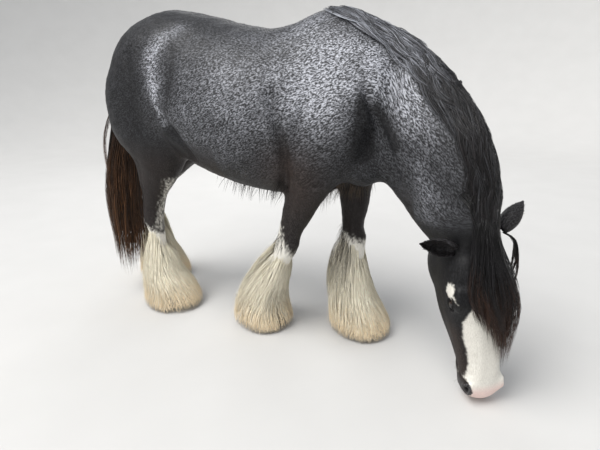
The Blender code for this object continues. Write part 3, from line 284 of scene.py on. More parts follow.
def setLie(mesh, places, lightness=0.5):  # where the coat's noise is read, and how light the hair is
    setVectors(mesh, "lie", places)
    layer = mesh.attributes.new("lightness", "FLOAT", "POINT")
    layer.data.foreach_set("value", np.broadcast_to(lightness, len(places)).astype(np.float32))


def setMap(mesh, name, places):  # a UV map from a place for every vertex
    corners = np.empty(len(mesh.loops), np.int32)
    mesh.loops.foreach_get("vertex_index", corners)
    mesh.uv_layers.new(name=name).data.foreach_set("uv", places[corners].astype(np.float32).ravel())


def nearest(tree, points):  # nearest place on a surface and its normal, for an array of points
    found = [tree.find_nearest(p) for p in np.asarray(points, float).reshape(-1, 3).tolist()]
    place, normal = (np.array([f[k] for f in found]).reshape(np.shape(points)) for k in (0, 1))
    return place, normal


def ripple(points, size, seed, waves=7):
    # smooth seeded noise from -1 to 1: the mean of sines in random directions
    draw = np.random.default_rng(seed)
    ways = unit(draw.normal(size=(waves, 3))) * draw.uniform(0.6, 1.6, (waves, 1)) * (2 * np.pi / size)
    return np.sin(points @ ways.T + draw.uniform(0, 6.28, waves)).mean(axis=-1) * 1.7


def nearLine(points, line):  # distance of every point from a line through several places
    line = np.array(line, float)
    if len(line) == 1:
        return np.linalg.norm(points - line[0], axis=1)
    best = np.full(len(points), 9.0)
    for a, b in zip(line[:-1], line[1:]):
        t = np.clip((points - a) @ (b - a) / ((b - a) @ (b - a)), 0, 1)
        best = np.minimum(best, np.linalg.norm(points - a - t[:, None] * (b - a), axis=1))
    return best


def asLeft(points):  # places of the right side taken over to the left
    return np.stack([points[:, 0], np.abs(points[:, 1]), points[:, 2]], axis=1)


def swell(distance, width):  # a bell curve: e to the power of minus the square of distance / width
    return np.exp(-((distance / width) ** 2))


def alongSkin(way, normals):  # the part of a way that lies along the skin
    return unit(way - normals * np.sum(way * normals, axis=1, keepdims=True))


def legAxis(leg, height):  # the middle of a leg at an array of heights
    rows = np.array(legRows[leg])[::-1]
    return np.interp(height, rows[:, 2], rows[:, 0]), np.interp(height, rows[:, 2], rows[:, 1])


def bellPoint(leg, height, angle, share):  # a place of the feather's bell at a height and an angle from ahead
    bell = np.array(bells[leg[:4]])
    behind, ahead, wide = (np.interp(height, bell[:, 0], bell[:, k]) for k in (1, 2, 3))
    x, y = legAxis(leg, height)
    level = np.minimum(height / 0.12, 1.0)
    x = feet[leg][0] * (1 - level) + x * level
    y = feet[leg][1] * (1 - level) + y * level
    along = np.cos(angle) * share * np.where(np.cos(angle) > 0, ahead, behind)
    return np.stack([x + along, y + np.sin(angle) * share * wide, np.broadcast_to(height, np.shape(along))],
                    axis=-1)


# Regions, markings and the lie of the coat, shared by the skin and all that grows on it
def inHead(points):  # 1 within the head, 0 behind the poll
    h = toHead(points)
    near = (np.abs(h[:, 1]) < 0.17) & (h[:, 2] > -0.30) & (h[:, 2] < 0.16) & (h[:, 0] < 0.72)
    return near * soft(h[:, 0], -0.055, 0.035)


def inNeck(points):  # 1 along the neck, falling to 0 over the shoulder
    return (soft(points[:, 0] - 0.35 * (points[:, 2] - 1.05), 0.56, 0.74) * (1 - inHead(points))
            * (points[:, 2] > 0.45))


def nearestLeg(points):  # index and distance of the leg whose middle is nearest
    far = []
    for leg in legRows:
        x, y = legAxis(leg, points[:, 2])
        far.append(np.hypot(points[:, 0] - x, points[:, 1] - y))
    return np.argmin(far, axis=0), np.min(far, axis=0)


def inLegs(points):
    low = np.where(points[:, 0] < 0, 0.93, 0.80)
    return (1 - soft(points[:, 2], low - 0.16, low)) * (1 - inHead(points)) * (points[:, 0] < 0.80)


markings = {
    # where white begins on each leg at its middle, and how it rises towards the rear: fore right, fore left,
    # hind right, hind left
    "legTops": (0.492, 0.472, 0.425, 0.455), "legSlopes": (1.5, 0.4, 0.5, 0.5),
    "stripes": [[(-0.378, -0.175, 0.700), (-0.423, -0.150, 0.632), (-0.466, -0.135, 0.572),
                 (-0.486, -0.141, 0.519), (-0.496, -0.146, 0.440)],
                [(-0.645, 0.170, 0.660), (-0.700, 0.172, 0.600), (-0.747, 0.170, 0.540),
                 (-0.775, 0.165, 0.460)]],
    # along the head, middle, half width
    "blaze": [(0.10, 0.000, 0.010), (0.16, -0.002, 0.022), (0.22, -0.006, 0.038), (0.27, -0.008, 0.058),
              (0.30, -0.008, 0.068), (0.36, -0.005, 0.067), (0.41, -0.001, 0.061), (0.46, 0.003, 0.060),
              (0.52, 0.001, 0.066), (0.56, 0.006, 0.060), (0.66, 0.008, 0.056)],
    "patch": ((0.190, -0.106, -0.022), (0.028, 0.060, 0.020)),
    "patchLine": [(0.205, -0.104, -0.004), (0.228, -0.100, 0.016), (0.250, -0.092, 0.030)],
    "warmElbow": (0.33, 0.24, 0.79), "warmGaskin": (-0.50, 0.18, 0.72),
    "warmMuzzle": [(0.36, 0.085, -0.070), (0.50, 0.070, -0.070)]}
# Silver ticking: place, radius, amount; and lines with their width and amount, mostly painted light and shade
# along the body's folds; both sides
silver = [((0.52, 0.20, 1.20), 0.12, 0.72), ((0.44, 0.25, 1.10), 0.12, 0.54),
          ((0.28, 0.29, 1.16), 0.17, 0.26), ((0.12, 0.33, 1.10), 0.20, 0.17),
          ((0.00, 0.33, 1.04), 0.18, 0.11), ((0.73, 0.18, 1.14), 0.09, 0.75),
          ((0.78, 0.21, 1.02), 0.10, 0.40), ((0.36, 0.15, 1.34), 0.11, 0.35),
          ((0.62, 0.18, 1.25), 0.08, 0.50), ((0.86, 0.19, 0.74), 0.08, 0.20),
          ((-0.26, 0.29, 0.86), 0.09, -0.10)]
# lines: a painted highlight along the croup and down the stifle with painted shade ahead of it, painted shade
# beside the shoulder groove with a thin painted highlight in it, painted shade in the crease behind the
# shoulder and where the thigh meets the flank, and a silver streak down the front of the neck
silverAndPaintedLightLines = [([(-0.22, 0.222, 1.361), (-0.267, 0.251, 1.334), (-0.308, 0.283, 1.283),
                 (-0.309, 0.304, 1.215), (-0.290, 0.315, 1.135)], 0.038, 0.46),
               ([(-0.290, 0.315, 1.135), (-0.277, 0.318, 1.038), (-0.247, 0.314, 0.990)], 0.016, 0.60),
               ([(-0.196, 0.280, 1.275), (-0.185, 0.312, 1.197), (-0.200, 0.325, 1.100)], 0.030, -0.08),
               ([(0.570, 0.190, 1.225), (0.598, 0.218, 1.165), (0.610, 0.210, 1.088), (0.616, 0.207, 1.003),
                 (0.614, 0.191, 0.912)], 0.036, -0.42),
               ([(0.655, 0.178, 1.061), (0.681, 0.157, 1.002), (0.716, 0.162, 0.933)], 0.024, -0.34),
               ([(0.629, 0.201, 1.078), (0.643, 0.183, 1.037), (0.660, 0.158, 0.983), (0.693, 0.156, 0.913),
                 (0.724, 0.157, 0.850)], 0.0065, 1.70),
               ([(0.276, 0.289, 1.104), (0.299, 0.293, 1.015), (0.321, 0.282, 0.923), (0.324, 0.244, 0.814)],
                0.022, -0.26),
               ([(-0.225, 0.305, 0.945), (-0.180, 0.295, 0.885), (-0.165, 0.260, 0.830)], 0.026, -0.30),
               ([(0.813, 0.187, 0.873), (0.848, 0.195, 0.772), (0.871, 0.196, 0.702)], 0.028, 0.20)]


def coatTone(points):  # white, silver, warm and bare shares of the coat at every point
    h = toHead(points)
    isHead = inHead(points)
    neck = inNeck(points)
    leg, legFar = nearestLeg(points)
    mottle = ripple(points, 0.016, 5) + 0.7 * ripple(points, 0.006, 6)
    ahead = np.zeros(len(points))
    for i, name in enumerate(legRows):
        ahead = np.where(leg == i, points[:, 0] - legAxis(name, points[:, 2])[0], ahead)
    top = (np.array(markings["legTops"])[leg] - np.array(markings["legSlopes"])[leg]
           * np.clip(ahead, -0.05, 0.05))
    body = (1 - isHead) * (points[:, 2] < 0.62) * (legFar < 0.22)
    white = body * (1 - soft(points[:, 2] + 0.016 * mottle, top - 0.02, top + 0.02))
    for line in markings["stripes"]:
        stripe = 1 - soft(nearLine(points, line) + 0.016 * mottle, 0.004, 0.040)
        white = np.maximum(white, 0.9 * stripe * (1 - isHead)
                           * soft(ripple(points, 0.010, 8) + 0.5 * mottle, -0.9, 0.7))
    blaze = np.array(markings["blaze"])
    middle, half = (np.interp(h[:, 0], blaze[:, 0], blaze[:, k]) for k in (1, 2))
    face = 1 - soft(np.abs(h[:, 1] - middle) + 0.0018 * mottle, half - 0.003, half + 0.003)
    face *= soft(h[:, 0], 0.10, 0.13) * soft(h[:, 2] + 0.004 * mottle, -0.118, -0.104)
    centre, radii = markings["patch"]
    patch = 1 - soft(np.linalg.norm((h - centre) / radii, axis=1) + 0.16 * mottle, 0.75, 1.10)
    line = 0.8 - 0.8 * soft(nearLine(h, markings["patchLine"]) + 0.002 * mottle, 0.001, 0.005)
    white = np.maximum(white, isHead * np.clip(np.maximum.reduce([face, patch, line]), 0, 1))
    tick = np.full(len(points), 0.115)
    twin = asLeft(points)
    for place, radius, amount in silver:
        tick += amount * swell(np.linalg.norm(twin - place, axis=1), radius)
    # then painted highlights and painted shade along the folds, and one silver streak
    for line, width, amount in silverAndPaintedLightLines:
        tick = np.maximum(tick + amount * swell(nearLine(twin, line), width), 0.04)
    haunch = soft(-points[:, 0], 0.30, 0.42) * (1 - soft(points[:, 2], 1.20, 1.42))
    ridge = soft(points[:, 2] + 0.12 * np.abs(points[:, 0]), 1.31, 1.42) * (points[:, 0] < 0.28)
    low = 1 - soft(points[:, 2], 0.78, 0.98)
    tick = np.clip(tick, 0.03, 1) * (1 - 0.62 * haunch) * (1 - 0.45 * ridge) * (1 - 0.40 * low * (1 - neck))
    tick *= 1 - 0.30 * neck * (1 - soft(points[:, 2], 0.9, 1.1))
    tick *= 1 - 0.80 * isHead
    tick *= 1 - 0.50 * inLegs(points)
    warm = 0.75 * swell(np.linalg.norm(twin - markings["warmElbow"], axis=1), 0.13) + 0.35 * inLegs(points)
    warm = np.maximum(warm, 0.5 * swell(np.linalg.norm(twin - markings["warmGaskin"], axis=1), 0.12))
    warm = np.maximum(warm, isHead * 0.85 * swell(nearLine(asLeft(h), markings["warmMuzzle"]), 0.045))
    bare = isHead * soft(h[:, 0] - 0.25 * h[:, 2], 0.535, 0.585)
    return np.stack([white, np.clip(tick, 0, 1), np.clip(warm, 0, 1), np.clip(bare, 0, 1)], axis=1)


lies = {"trunk": (-0.90, 0, -0.42), "neck": (-0.62, 0.10, 0.55), "leg": (-0.12, 0, -1.0)}


def lieOf(points, normals):  # the way the hair lies: a mean of the regions' ways, turned along the skin
    isHead, neck, legs = (f(points)[:, None] for f in (inHead, inNeck, inLegs))
    way = np.array(lies["trunk"]) * (1 - neck) * (1 - legs) * (1 - isHead)
    way = way + np.array(lies["neck"]) * neck + np.array(lies["leg"]) * legs
    h = toHead(points)
    way = way + (headAxis - headTurn[2] * 0.35 * soft(-h[:, 2:3], 0.02, 0.12)) * isHead
    return alongSkin(way, normals)


def lieCoordinates(points):  # places measured along and across the lie, each region about its own joint
    def turned(way, joint):
        way = unit(np.array(way, float))
        side = unit(np.cross(way, (0.1, 1, 0.05)))
        return (points - joint) @ np.stack([way, side, np.cross(way, side)]).T
    isHead, neck, legs = (f(points)[:, None] for f in (inHead, inNeck, inLegs))
    rest = (1 - neck) * (1 - legs) * (1 - isHead)
    made = turned(lies["trunk"], (0.60, 0, 1.0)) * rest + turned(lies["neck"], (0.60, 0, 1.0)) * neck
    return made + turned(headAxis, poll) * isHead + turned(lies["leg"], (0.40, 0, 0.8)) * legs


def bakePlace(points):
    # unwrap of the skin's shape: angle round each region's middle and way along it, in eight tiles
    isHead, neck = inHead(points) > 0.5, inNeck(points) > 0.5
    leg, legFar = nearestLeg(points)
    h = toHead(points)
    isLeg = (inLegs(points) > 0.5) & ~isHead
    tail = (points[:, 0] < -0.70) & (legFar > 0.12) & ~isLeg
    x, y = np.empty(len(points)), np.empty(len(points))
    for i, name in enumerate(legRows):
        on = leg == i
        x[on], y[on] = legAxis(name, points[on, 2])
    angle = np.arctan2(points[:, 1], points[:, 2] - 1.08)
    angle = np.where(neck, np.arctan2(points[:, 1] + 0.08, points[:, 0] + points[:, 2] * 0.8 - 1.55), angle)
    angle = np.where(isHead, np.arctan2(h[:, 1], h[:, 2] + 0.085), angle)
    angle = np.where(isLeg, np.arctan2(points[:, 1] - y, points[:, 0] - x), angle)
    way = (points[:, 0] + 0.80) / 1.60
    way = np.where(neck, (points[:, 0] - 0.50) / 0.70, way)
    way = np.where(isHead, (h[:, 0] + 0.08) / 0.75, way)
    way = np.where(isLeg | tail, points[:, 2] / 1.45, way)
    tile = np.where(isLeg, 4 + leg, np.where(isHead, 2, np.where(neck, 1, np.where(tail, 3, 0))))
    u = 0.02 + 0.21 * np.clip(angle / (2 * np.pi) + 0.5, 0, 1) + 0.25 * (tile % 4)
    return np.stack([u, 0.03 + 0.44 * np.clip(way, 0, 1) + 0.5 * (tile // 4)], axis=1)


# Shader groups and materials
def newGroup(name, inputs, outputs):
    group = bpy.data.node_groups.new(name, "ShaderNodeTree")
    for label, kind, value in inputs:
        socket = group.interface.new_socket(label, in_out="INPUT", socket_type=kind)
        if value is not None:
            socket.default_value = value
    for label, kind in outputs:
        group.interface.new_socket(label, in_out="OUTPUT", socket_type=kind)
    return group, group.nodes.new("NodeGroupInput"), group.nodes.new("NodeGroupOutput")


def addNode(tree, kind, settings=(), **sockets):  # a node, its settings, and its sockets: a value or a link
    node = tree.nodes.new(kind)
    for key, value in dict(settings).items():
        setattr(node, key, value)
    for key, value in sockets.items():
        name = key.replace("_", " ")
        socket = node.inputs[int(key[1:])] if key[0] == "i" and key[1:].isdigit() else node.inputs[name]
        if isinstance(value, bpy.types.NodeSocket):
            tree.links.new(value, socket)
        else:
            socket.default_value = value
    return node


def mixColour(tree, factor, a, b, blend="MIX"):
    node = tree.nodes.new("ShaderNodeMix")
    node.data_type = "RGBA"
    node.blend_type = blend
    for index, value in ((0, factor), (6, a), (7, b)):
        if isinstance(value, bpy.types.NodeSocket):
            tree.links.new(value, node.inputs[index])
        else:
            node.inputs[index].default_value = value
    return node.outputs[2]


def maths(tree, operation, a, b=0.0, clamp=False):
    return addNode(tree, "ShaderNodeMath", {"operation": operation, "use_clamp": clamp}, i0=a,
                   i1=b).outputs[0]


def colourGroup():
    # black, silver, warm, white and bare skin by the tone attribute, broken up by noise along the lie
    group, feed, result = newGroup(
        "roanColour",
        [("Tone", "NodeSocketColor", None), ("Bare", "NodeSocketFloat", 0.0),
         ("Lie", "NodeSocketVector", None), ("Lightness", "NodeSocketFloat", 0.5),
         ("Fleck", "NodeSocketFloat", 60.0)],
        [("Color", "NodeSocketColor"), ("Height", "NodeSocketFloat")])
    shares = addNode(group, "ShaderNodeSeparateColor", Color=feed.outputs["Tone"])
    white, tick, warm = shares.outputs
    stretched = addNode(group, "ShaderNodeMapping", Vector=feed.outputs["Lie"],
                        Scale=(0.50, 1.0, 1.0)).outputs[0]
    fleck = addNode(group, "ShaderNodeTexNoise", Vector=stretched, Scale=feed.outputs["Fleck"], Detail=3.0,
                    Roughness=0.62)
    cloud = addNode(group, "ShaderNodeTexNoise", Vector=stretched, Scale=11.0, Detail=2.0, Roughness=0.5)
    hair = addNode(group, "ShaderNodeMapping", Vector=feed.outputs["Lie"], Scale=(0.12, 1.0, 1.0)).outputs[0]
    strands = addNode(group, "ShaderNodeTexNoise", Vector=hair, Scale=620.0, Detail=2.0, Roughness=0.6)
    fine = addNode(group, "ShaderNodeMapRange", Value=fleck.outputs["Fac"], From_Min=0.44,
                   From_Max=0.66).outputs[0]
    broad = addNode(group, "ShaderNodeMapRange", Value=cloud.outputs["Fac"], From_Min=0.30, From_Max=0.72,
                    To_Min=0.65, To_Max=1.25)
    amount = maths(group, "MULTIPLY", tick, maths(group, "ADD", maths(group, "MULTIPLY", fine, 1.7), 0.08))
    amount = maths(group, "MULTIPLY", amount, broad.outputs[0])
    light = maths(group, "ADD", maths(group, "MULTIPLY", feed.outputs["Lightness"], 1.7), 0.15)
    amount = maths(group, "MULTIPLY", amount, light, clamp=True)
    colour = mixColour(group, amount, (0.0055, 0.0053, 0.0060, 1), (0.53, 0.545, 0.60, 1))
    brown = maths(group, "MULTIPLY", warm, maths(group, "ADD", maths(group, "MULTIPLY", fine, 0.5), 0.35))
    colour = mixColour(group, brown, colour, (0.052, 0.029, 0.019, 1))
    pale = mixColour(group, strands.outputs["Fac"], (0.72, 0.69, 0.62, 1), (0.85, 0.83, 0.77, 1))
    colour = mixColour(group, white, colour, pale)
    smooth = mixColour(group, fine, (0.050, 0.046, 0.047, 1), (0.095, 0.088, 0.088, 1))
    bareDark = maths(group, "MULTIPLY", feed.outputs["Bare"], maths(group, "SUBTRACT", 1.0, white))
    colour = mixColour(group, bareDark, colour, smooth)
    pink = maths(group, "MULTIPLY", feed.outputs["Bare"], maths(group, "MULTIPLY", white, 0.75))
    colour = mixColour(group, pink, colour, (0.90, 0.66, 0.61, 1))
    shade = addNode(group, "ShaderNodeMapRange", Value=strands.outputs["Fac"], To_Min=0.74,
                    To_Max=1.22).outputs[0]
    tint = addNode(group, "ShaderNodeCombineColor", Red=shade, Green=shade, Blue=shade).outputs[0]
    colour = mixColour(group, 1.0, colour, tint, "MULTIPLY")
    height = maths(group, "ADD", maths(group, "MULTIPLY", strands.outputs["Fac"], 0.7),
                   maths(group, "MULTIPLY", fine, 0.5))
    group.links.new(colour, result.inputs["Color"])
    group.links.new(height, result.inputs["Height"])
    return group


def strandGroup():  # a strand's own colour with streaks along it, and painted shade darkening it towards the root
    group, feed, result = newGroup(
        "hairColour",
        [("Tint", "NodeSocketColor", None), ("Strand", "NodeSocketVector", None),
         ("Streak", "NodeSocketFloat", 0.5), ("Root Shade", "NodeSocketFloat", 0.6)],
        [("Color", "NodeSocketColor"), ("Height", "NodeSocketFloat")])
    parts = addNode(group, "ShaderNodeSeparateXYZ", Vector=feed.outputs["Strand"])
    long = addNode(group, "ShaderNodeMapping", Vector=feed.outputs["Strand"],
                   Scale=(2.0, 37.0, 3.0)).outputs[0]
    noise = addNode(group, "ShaderNodeTexNoise", Vector=long, Scale=3.0, Detail=2.0,
                    Roughness=0.5).outputs["Fac"]
    spread = maths(group, "MULTIPLY", maths(group, "SUBTRACT", noise, 0.5),
                   maths(group, "MULTIPLY", feed.outputs["Streak"], 2.2))
    # painted shade: over the first three tenths of a strand the colour falls to Root Shade at the root
    rooted = addNode(group, "ShaderNodeMapRange", Value=parts.outputs[0], From_Max=0.30,
                     To_Min=feed.outputs["Root Shade"]).outputs[0]
    light = maths(group, "MULTIPLY", maths(group, "ADD", spread, 1.0), rooted)
    tint = addNode(group, "ShaderNodeCombineColor", Red=light, Green=light, Blue=light).outputs[0]
    group.links.new(mixColour(group, 1.0, feed.outputs["Tint"], tint, "MULTIPLY"), result.inputs["Color"])
    group.links.new(noise, result.inputs["Height"])
    return group


roanColour = colourGroup()
hairColour = strandGroup()


def newMaterial(name):
    material = bpy.data.materials.new(name)
    material.use_nodes = True
    tree = material.node_tree
    return material, tree, tree.nodes["Principled BSDF"]


def attribute(tree, name, output="Color"):
    node = tree.nodes.new("ShaderNodeAttribute")
    node.attribute_name = name
    return node.outputs[output]


def bumped(tree, shader, height, distance, strength=0.5):
    bump = addNode(tree, "ShaderNodeBump", Height=height, Distance=distance, Strength=strength)
    tree.links.new(bump.outputs[0], shader.inputs["Normal"])


def coatMaterial(name, fleck, roughness, bumpDepth, sheen):
    # skin and short fur: the same markings by the tone attribute
    material, tree, shader = newMaterial(name)
    group = addNode(tree, "ShaderNodeGroup", {"node_tree": roanColour}, Tone=attribute(tree, "tone"),
                    Bare=attribute(tree, "tone", "Alpha"), Lie=attribute(tree, "lie", "Vector"),
                    Lightness=attribute(tree, "lightness", "Fac"), Fleck=fleck)
    tree.links.new(group.outputs["Color"], shader.inputs["Base Color"])
    bumped(tree, shader, group.outputs["Height"], bumpDepth)
    shader.inputs["Roughness"].default_value = roughness
    shader.inputs["Sheen Weight"].default_value = sheen
    shader.inputs["Sheen Roughness"].default_value = 0.5
    shader.inputs["Specular IOR Level"].default_value = 0.22
    return material


def hairMaterial(name, streak, paintedRootShade, roughness, specular=0.5):
    material, tree, shader = newMaterial(name)
    group = addNode(tree, "ShaderNodeGroup", {"node_tree": hairColour}, Tint=attribute(tree, "tone"),
                    Strand=attribute(tree, "strand", "Vector"), Streak=streak, Root_Shade=paintedRootShade)
    tree.links.new(group.outputs["Color"], shader.inputs["Base Color"])
    bumped(tree, shader, group.outputs["Height"], 0.0004, 0.4)
    shader.inputs["Roughness"].default_value = roughness
    shader.inputs["Specular IOR Level"].default_value = specular
    shader.inputs["Anisotropic"].default_value = 0.3
    return material


coatSkin = coatMaterial("roanSkin", 200.0, 0.50, 0.0008, 0.0)
coatTuft = coatMaterial("roanTufts", 200.0, 0.45, 0.0003, 0.0)
darkHair = hairMaterial("maneHair", 0.7, 0.45, 0.36, 0.35)
tailHair = hairMaterial("tailHair", 0.6, 0.45, 0.42, 0.30)
paleHair = hairMaterial("featherHair", 0.18, 0.95, 0.60, 0.25)
paleShader = paleHair.node_tree.nodes["Principled BSDF"]
paleShader.inputs["Sheen Weight"].default_value = 0.9
paleShader.inputs["Sheen Roughness"].default_value = 0.5
paleShader.inputs["Sheen Tint"].default_value = (1.0, 0.93, 0.80, 1.0)

# The skin
skinCut = {"voxel": 0.0095, "bodyEase": 16, "headEase": 8, "inset": 0.004, "headInset": 0.0015,
           "coreShare": 0.64, "elbow": (0.56, 0.11, 0.79), "throat": (1.015, -0.215, 0.735),
           "foldEase": 40, "bakePatch": 0.003}
# Relief on both sides of the body: line, height, width
relief = mm([
    ([(612, 205, 1130), (629, 201, 1078), (655, 165, 1000), (693, 156, 913), (730, 150, 820)], -16, 14),
    ([(272, 290, 1110), (299, 293, 1015), (321, 280, 923), (315, 250, 820), (281, 204, 738)], -15, 18),
    ([(350, 252, 815)], 10, 40), ([(430, 200, 1280), (500, 220, 1100), (565, 220, 960)], 5, 22),
    ([(420, 240, 1130), (370, 260, 990), (350, 260, 900)], -5, 20),
    ([(-250, 314, 1000), (-205, 310, 945), (-165, 295, 890), (-150, 262, 835)], -18, 20),
    ([(-265, 300, 970), (-235, 280, 890)], 7, 22), ([(-335, 225, 1315)], 12, 40),
    ([(-460, 290, 1270), (-420, 300, 1100), (-400, 290, 950)], -5, 28),
    ([(-660, 160, 1200), (-660, 200, 1020), (-600, 240, 900)], -6, 20),
    ([(-600, 0, 1420), (-100, 0, 1420)], -7, 22), ([(440, 0, 1420), (300, 0, 1420)], 6, 30),
    ([(740, 130, 800), (840, 160, 720), (930, 170, 620)], -7, 16),
    ([(50, 310, 970), (300, 270, 880)], -3, 30)])
legRelief = mm([  # as they stand, not mirrored
    ([(-460, -270, 880), (-500, -230, 750), (-550, -190, 620)], -5, 14),
    ([(-600, 270, 880), (-700, 230, 750), (-790, 210, 620)], -5, 14),
    ([(-560, -190, 640), (-566, -185, 540)], -6, 11), ([(-818, 205, 640), (-825, 205, 540)], -6, 11),
    ([(330, -220, 740), (285, -185, 580)], -5, 12), ([(455, 215, 740), (460, 185, 580)], -5, 12),
    ([(285, -125, 475)], 6, 22), ([(520, 118, 475)], 6, 22)])
# in head space, both sides: facial crest, hollow under it, hollow over the eye, brow, jaw edge, masseter,
# temple, side and ridge of the nose, fold under the eye, corner of the mouth, nostril's fold, lip
headRelief = mm([
    ([(205, 98, -66), (280, 90, -72), (355, 74, -76)], 5, 10),
    ([(270, 85, -105), (380, 66, -100)], -4.5, 18), ([(170, 66, 8)], -8, 17),
    ([(190, 86, 6), (218, 96, 8), (252, 90, -2)], 4.5, 10),
    ([(35, 60, -85), (60, 75, -160), (105, 70, -225)], -6, 13),
    ([(150, 100, -150)], 4, 50), ([(95, 60, 10)], 4, 28),
    ([(310, 62, -12), (420, 56, -22), (500, 52, -30)], -3.5, 14),
    ([(280, 30, 26), (500, 26, -4)], 2, 14),
    ([(262, 88, -52), (285, 86, -60)], -2.5, 7),
    ([(505, 66, -88), (475, 70, -100)], -3, 6),
    ([(520, 68, -70), (515, 64, -40)], -2.5, 7), ([(500, 60, -112)], 3, 16)])
nostril = {"place": (0.560, 0.065, -0.045), "long": (0.70, -0.20, -0.68), "out": (0.20, 0.75, 0.62),
           "half": (0.0195, 0.0105), "depth": 0.022, "rim": 0.0040}
mouth = {"line": [(0.490, 0.072, -0.108), (0.530, 0.068, -0.112), (0.565, 0.055, -0.116),
                  (0.592, 0.030, -0.119), (0.602, 0.0, -0.120)],
         "depth": 0.0060, "half": 0.0032}


def skinForms():  # every form of the flesh, as grids of rings
    neck = loft(neckRows, leftEnd=headLeft, sides=32)
    forms = [loft(trunkRows, sides=40), neck, fromHead(loft(headRows, sides=32))]
    forms += [loft(rows, sides=24) for rows in legRows.values()]
    for sign in (-1, 1):
        forms += [ball(mirrored(c, sign), r) for c, r in masses]
        forms += [fromHead(ball(mirrored(c, sign), r)) for c, r in headMasses]
    forms += [fromHead(ball(c, r)) for c, r in midMasses]
    forms += [ball(c, (0.030, 0.022, 0.048)) for c in hocks]
    angle = np.linspace(0, 2 * np.pi, 22, endpoint=False)[None]
    for leg in legRows:  # the dense inside of the feather
        heights = np.linspace(0.400, 0.050, 9)[:, None]
        forms.append(bellPoint(leg, heights, angle, skinCut["coreShare"]))
    return forms


def eased(points, edges, rounds, weight):
    # each round moves a point half way to the mean of its neighbours, by its weight
    count = np.bincount(edges.ravel(), minlength=len(points))[:, None]
    for _ in range(rounds):
        total = np.stack([np.bincount(edges[:, 0], points[edges[:, 1], k], len(points))
                          + np.bincount(edges[:, 1], points[edges[:, 0], k], len(points)) for k in range(3)],
                         axis=1)
        points = points + weight[:, None] * 0.5 * (total / count - points)
    return points


def edgesOf(mesh):
    edges = np.empty(len(mesh.edges) * 2, np.int32)
    mesh.edges.foreach_get("vertices", edges)
    return edges.reshape(-1, 2)


def refine(mesh, wanted):  # halves the edges whose two ends are wanted
    shape = bmesh.new()
    shape.from_mesh(mesh)
    edges = [edge for edge in shape.edges if wanted[edge.verts[0].index] and wanted[edge.verts[1].index]]
    bmesh.ops.subdivide_edges(shape, edges=edges, cuts=1, use_grid_fill=True)
    shape.to_mesh(mesh)
    shape.free()


def eyeFrame(sign):  # middle of the eyeball, and its ways ahead, up and out
    centre = fromHead(mirrored(eyes["place"], sign))
    out = unit(sign * headLeft + 0.16 * headTurn[2])
    ahead = unit(headAxis - out * (headAxis @ out))
    up = unit(headTurn[2] - out * (headTurn[2] @ out))
    return centre, ahead, unit(up - ahead * (up @ ahead)), out


def fusedForms():  # the forms joined into one surface of small squares
    grids = skinForms()
    points, faces, start = [], [], 0
    for grid in grids:
        rows, cols = grid.shape[:2]
        points.append(grid.reshape(-1, 3))
        faces += (gridQuads(rows, cols) + start).tolist()
        faces += [list(range(start, start + cols)),
                  list(range(start + rows * cols - cols, start + rows * cols))[::-1]]
        start += rows * cols
    mesh = bpy.data.meshes.new("skin")
    mesh.from_pydata(np.vstack(points).tolist(), [], faces)
    obj = bpy.data.objects.new("skin", mesh)
    bpy.context.scene.collection.objects.link(obj)
    outward(obj)
    fuse = obj.modifiers.new("fuse", "REMESH")
    fuse.mode = "VOXEL"
    fuse.voxel_size = skinCut["voxel"]
    bpy.context.view_layer.update()
    mesh = bpy.data.meshes.new_from_object(obj.evaluated_get(bpy.context.evaluated_depsgraph_get()))
    obj.modifiers.clear()
    obj.data = mesh
    return obj


def easedSkin(mesh):
    # creases between the forms evened, and the head cut finer, most round eyes, nostrils and lips
    points = pointsOf(mesh)
    isHead = inHead(points)
    edges = edgesOf(mesh)
    points = eased(points, edges, skinCut["headEase"], np.ones(len(points)))
    points = eased(points, edges, skinCut["bodyEase"] - skinCut["headEase"], 1 - isHead)
    knot = 1 - soft(np.linalg.norm(asLeft(points) - skinCut["elbow"], axis=1), 0.08, 0.20)
    knot = np.maximum(knot, 1 - soft(np.linalg.norm(points - skinCut["throat"], axis=1), 0.07, 0.16))
    points = eased(points, edges, skinCut["foldEase"], knot)
    setPoints(mesh, points)
    refine(mesh, inHead(points) > 0.3)
    points = eased(pointsOf(mesh), edgesOf(mesh), 5, soft(inHead(pointsOf(mesh)), 0.2, 0.6))
    setPoints(mesh, points)
    for reach in (1.0, 0.8):  # twice more round the eyes, nostrils and lips
        h = toHead(pointsOf(mesh))
        twin = asLeft(h)
        wanted = ((np.linalg.norm(twin - eyes["place"], axis=1) < 0.048 * reach)
                  | (np.linalg.norm(twin - nostril["place"], axis=1) < 0.042 * reach))
        wanted |= nearLine(twin, mouth["line"]) < 0.017 * reach
        refine(mesh, wanted)
        points = eased(pointsOf(mesh), edgesOf(mesh), 2, soft(inHead(pointsOf(mesh)), 0.2, 0.6))
        setPoints(mesh, points)
    print("skin fused:", len(mesh.vertices), "points")
    return points


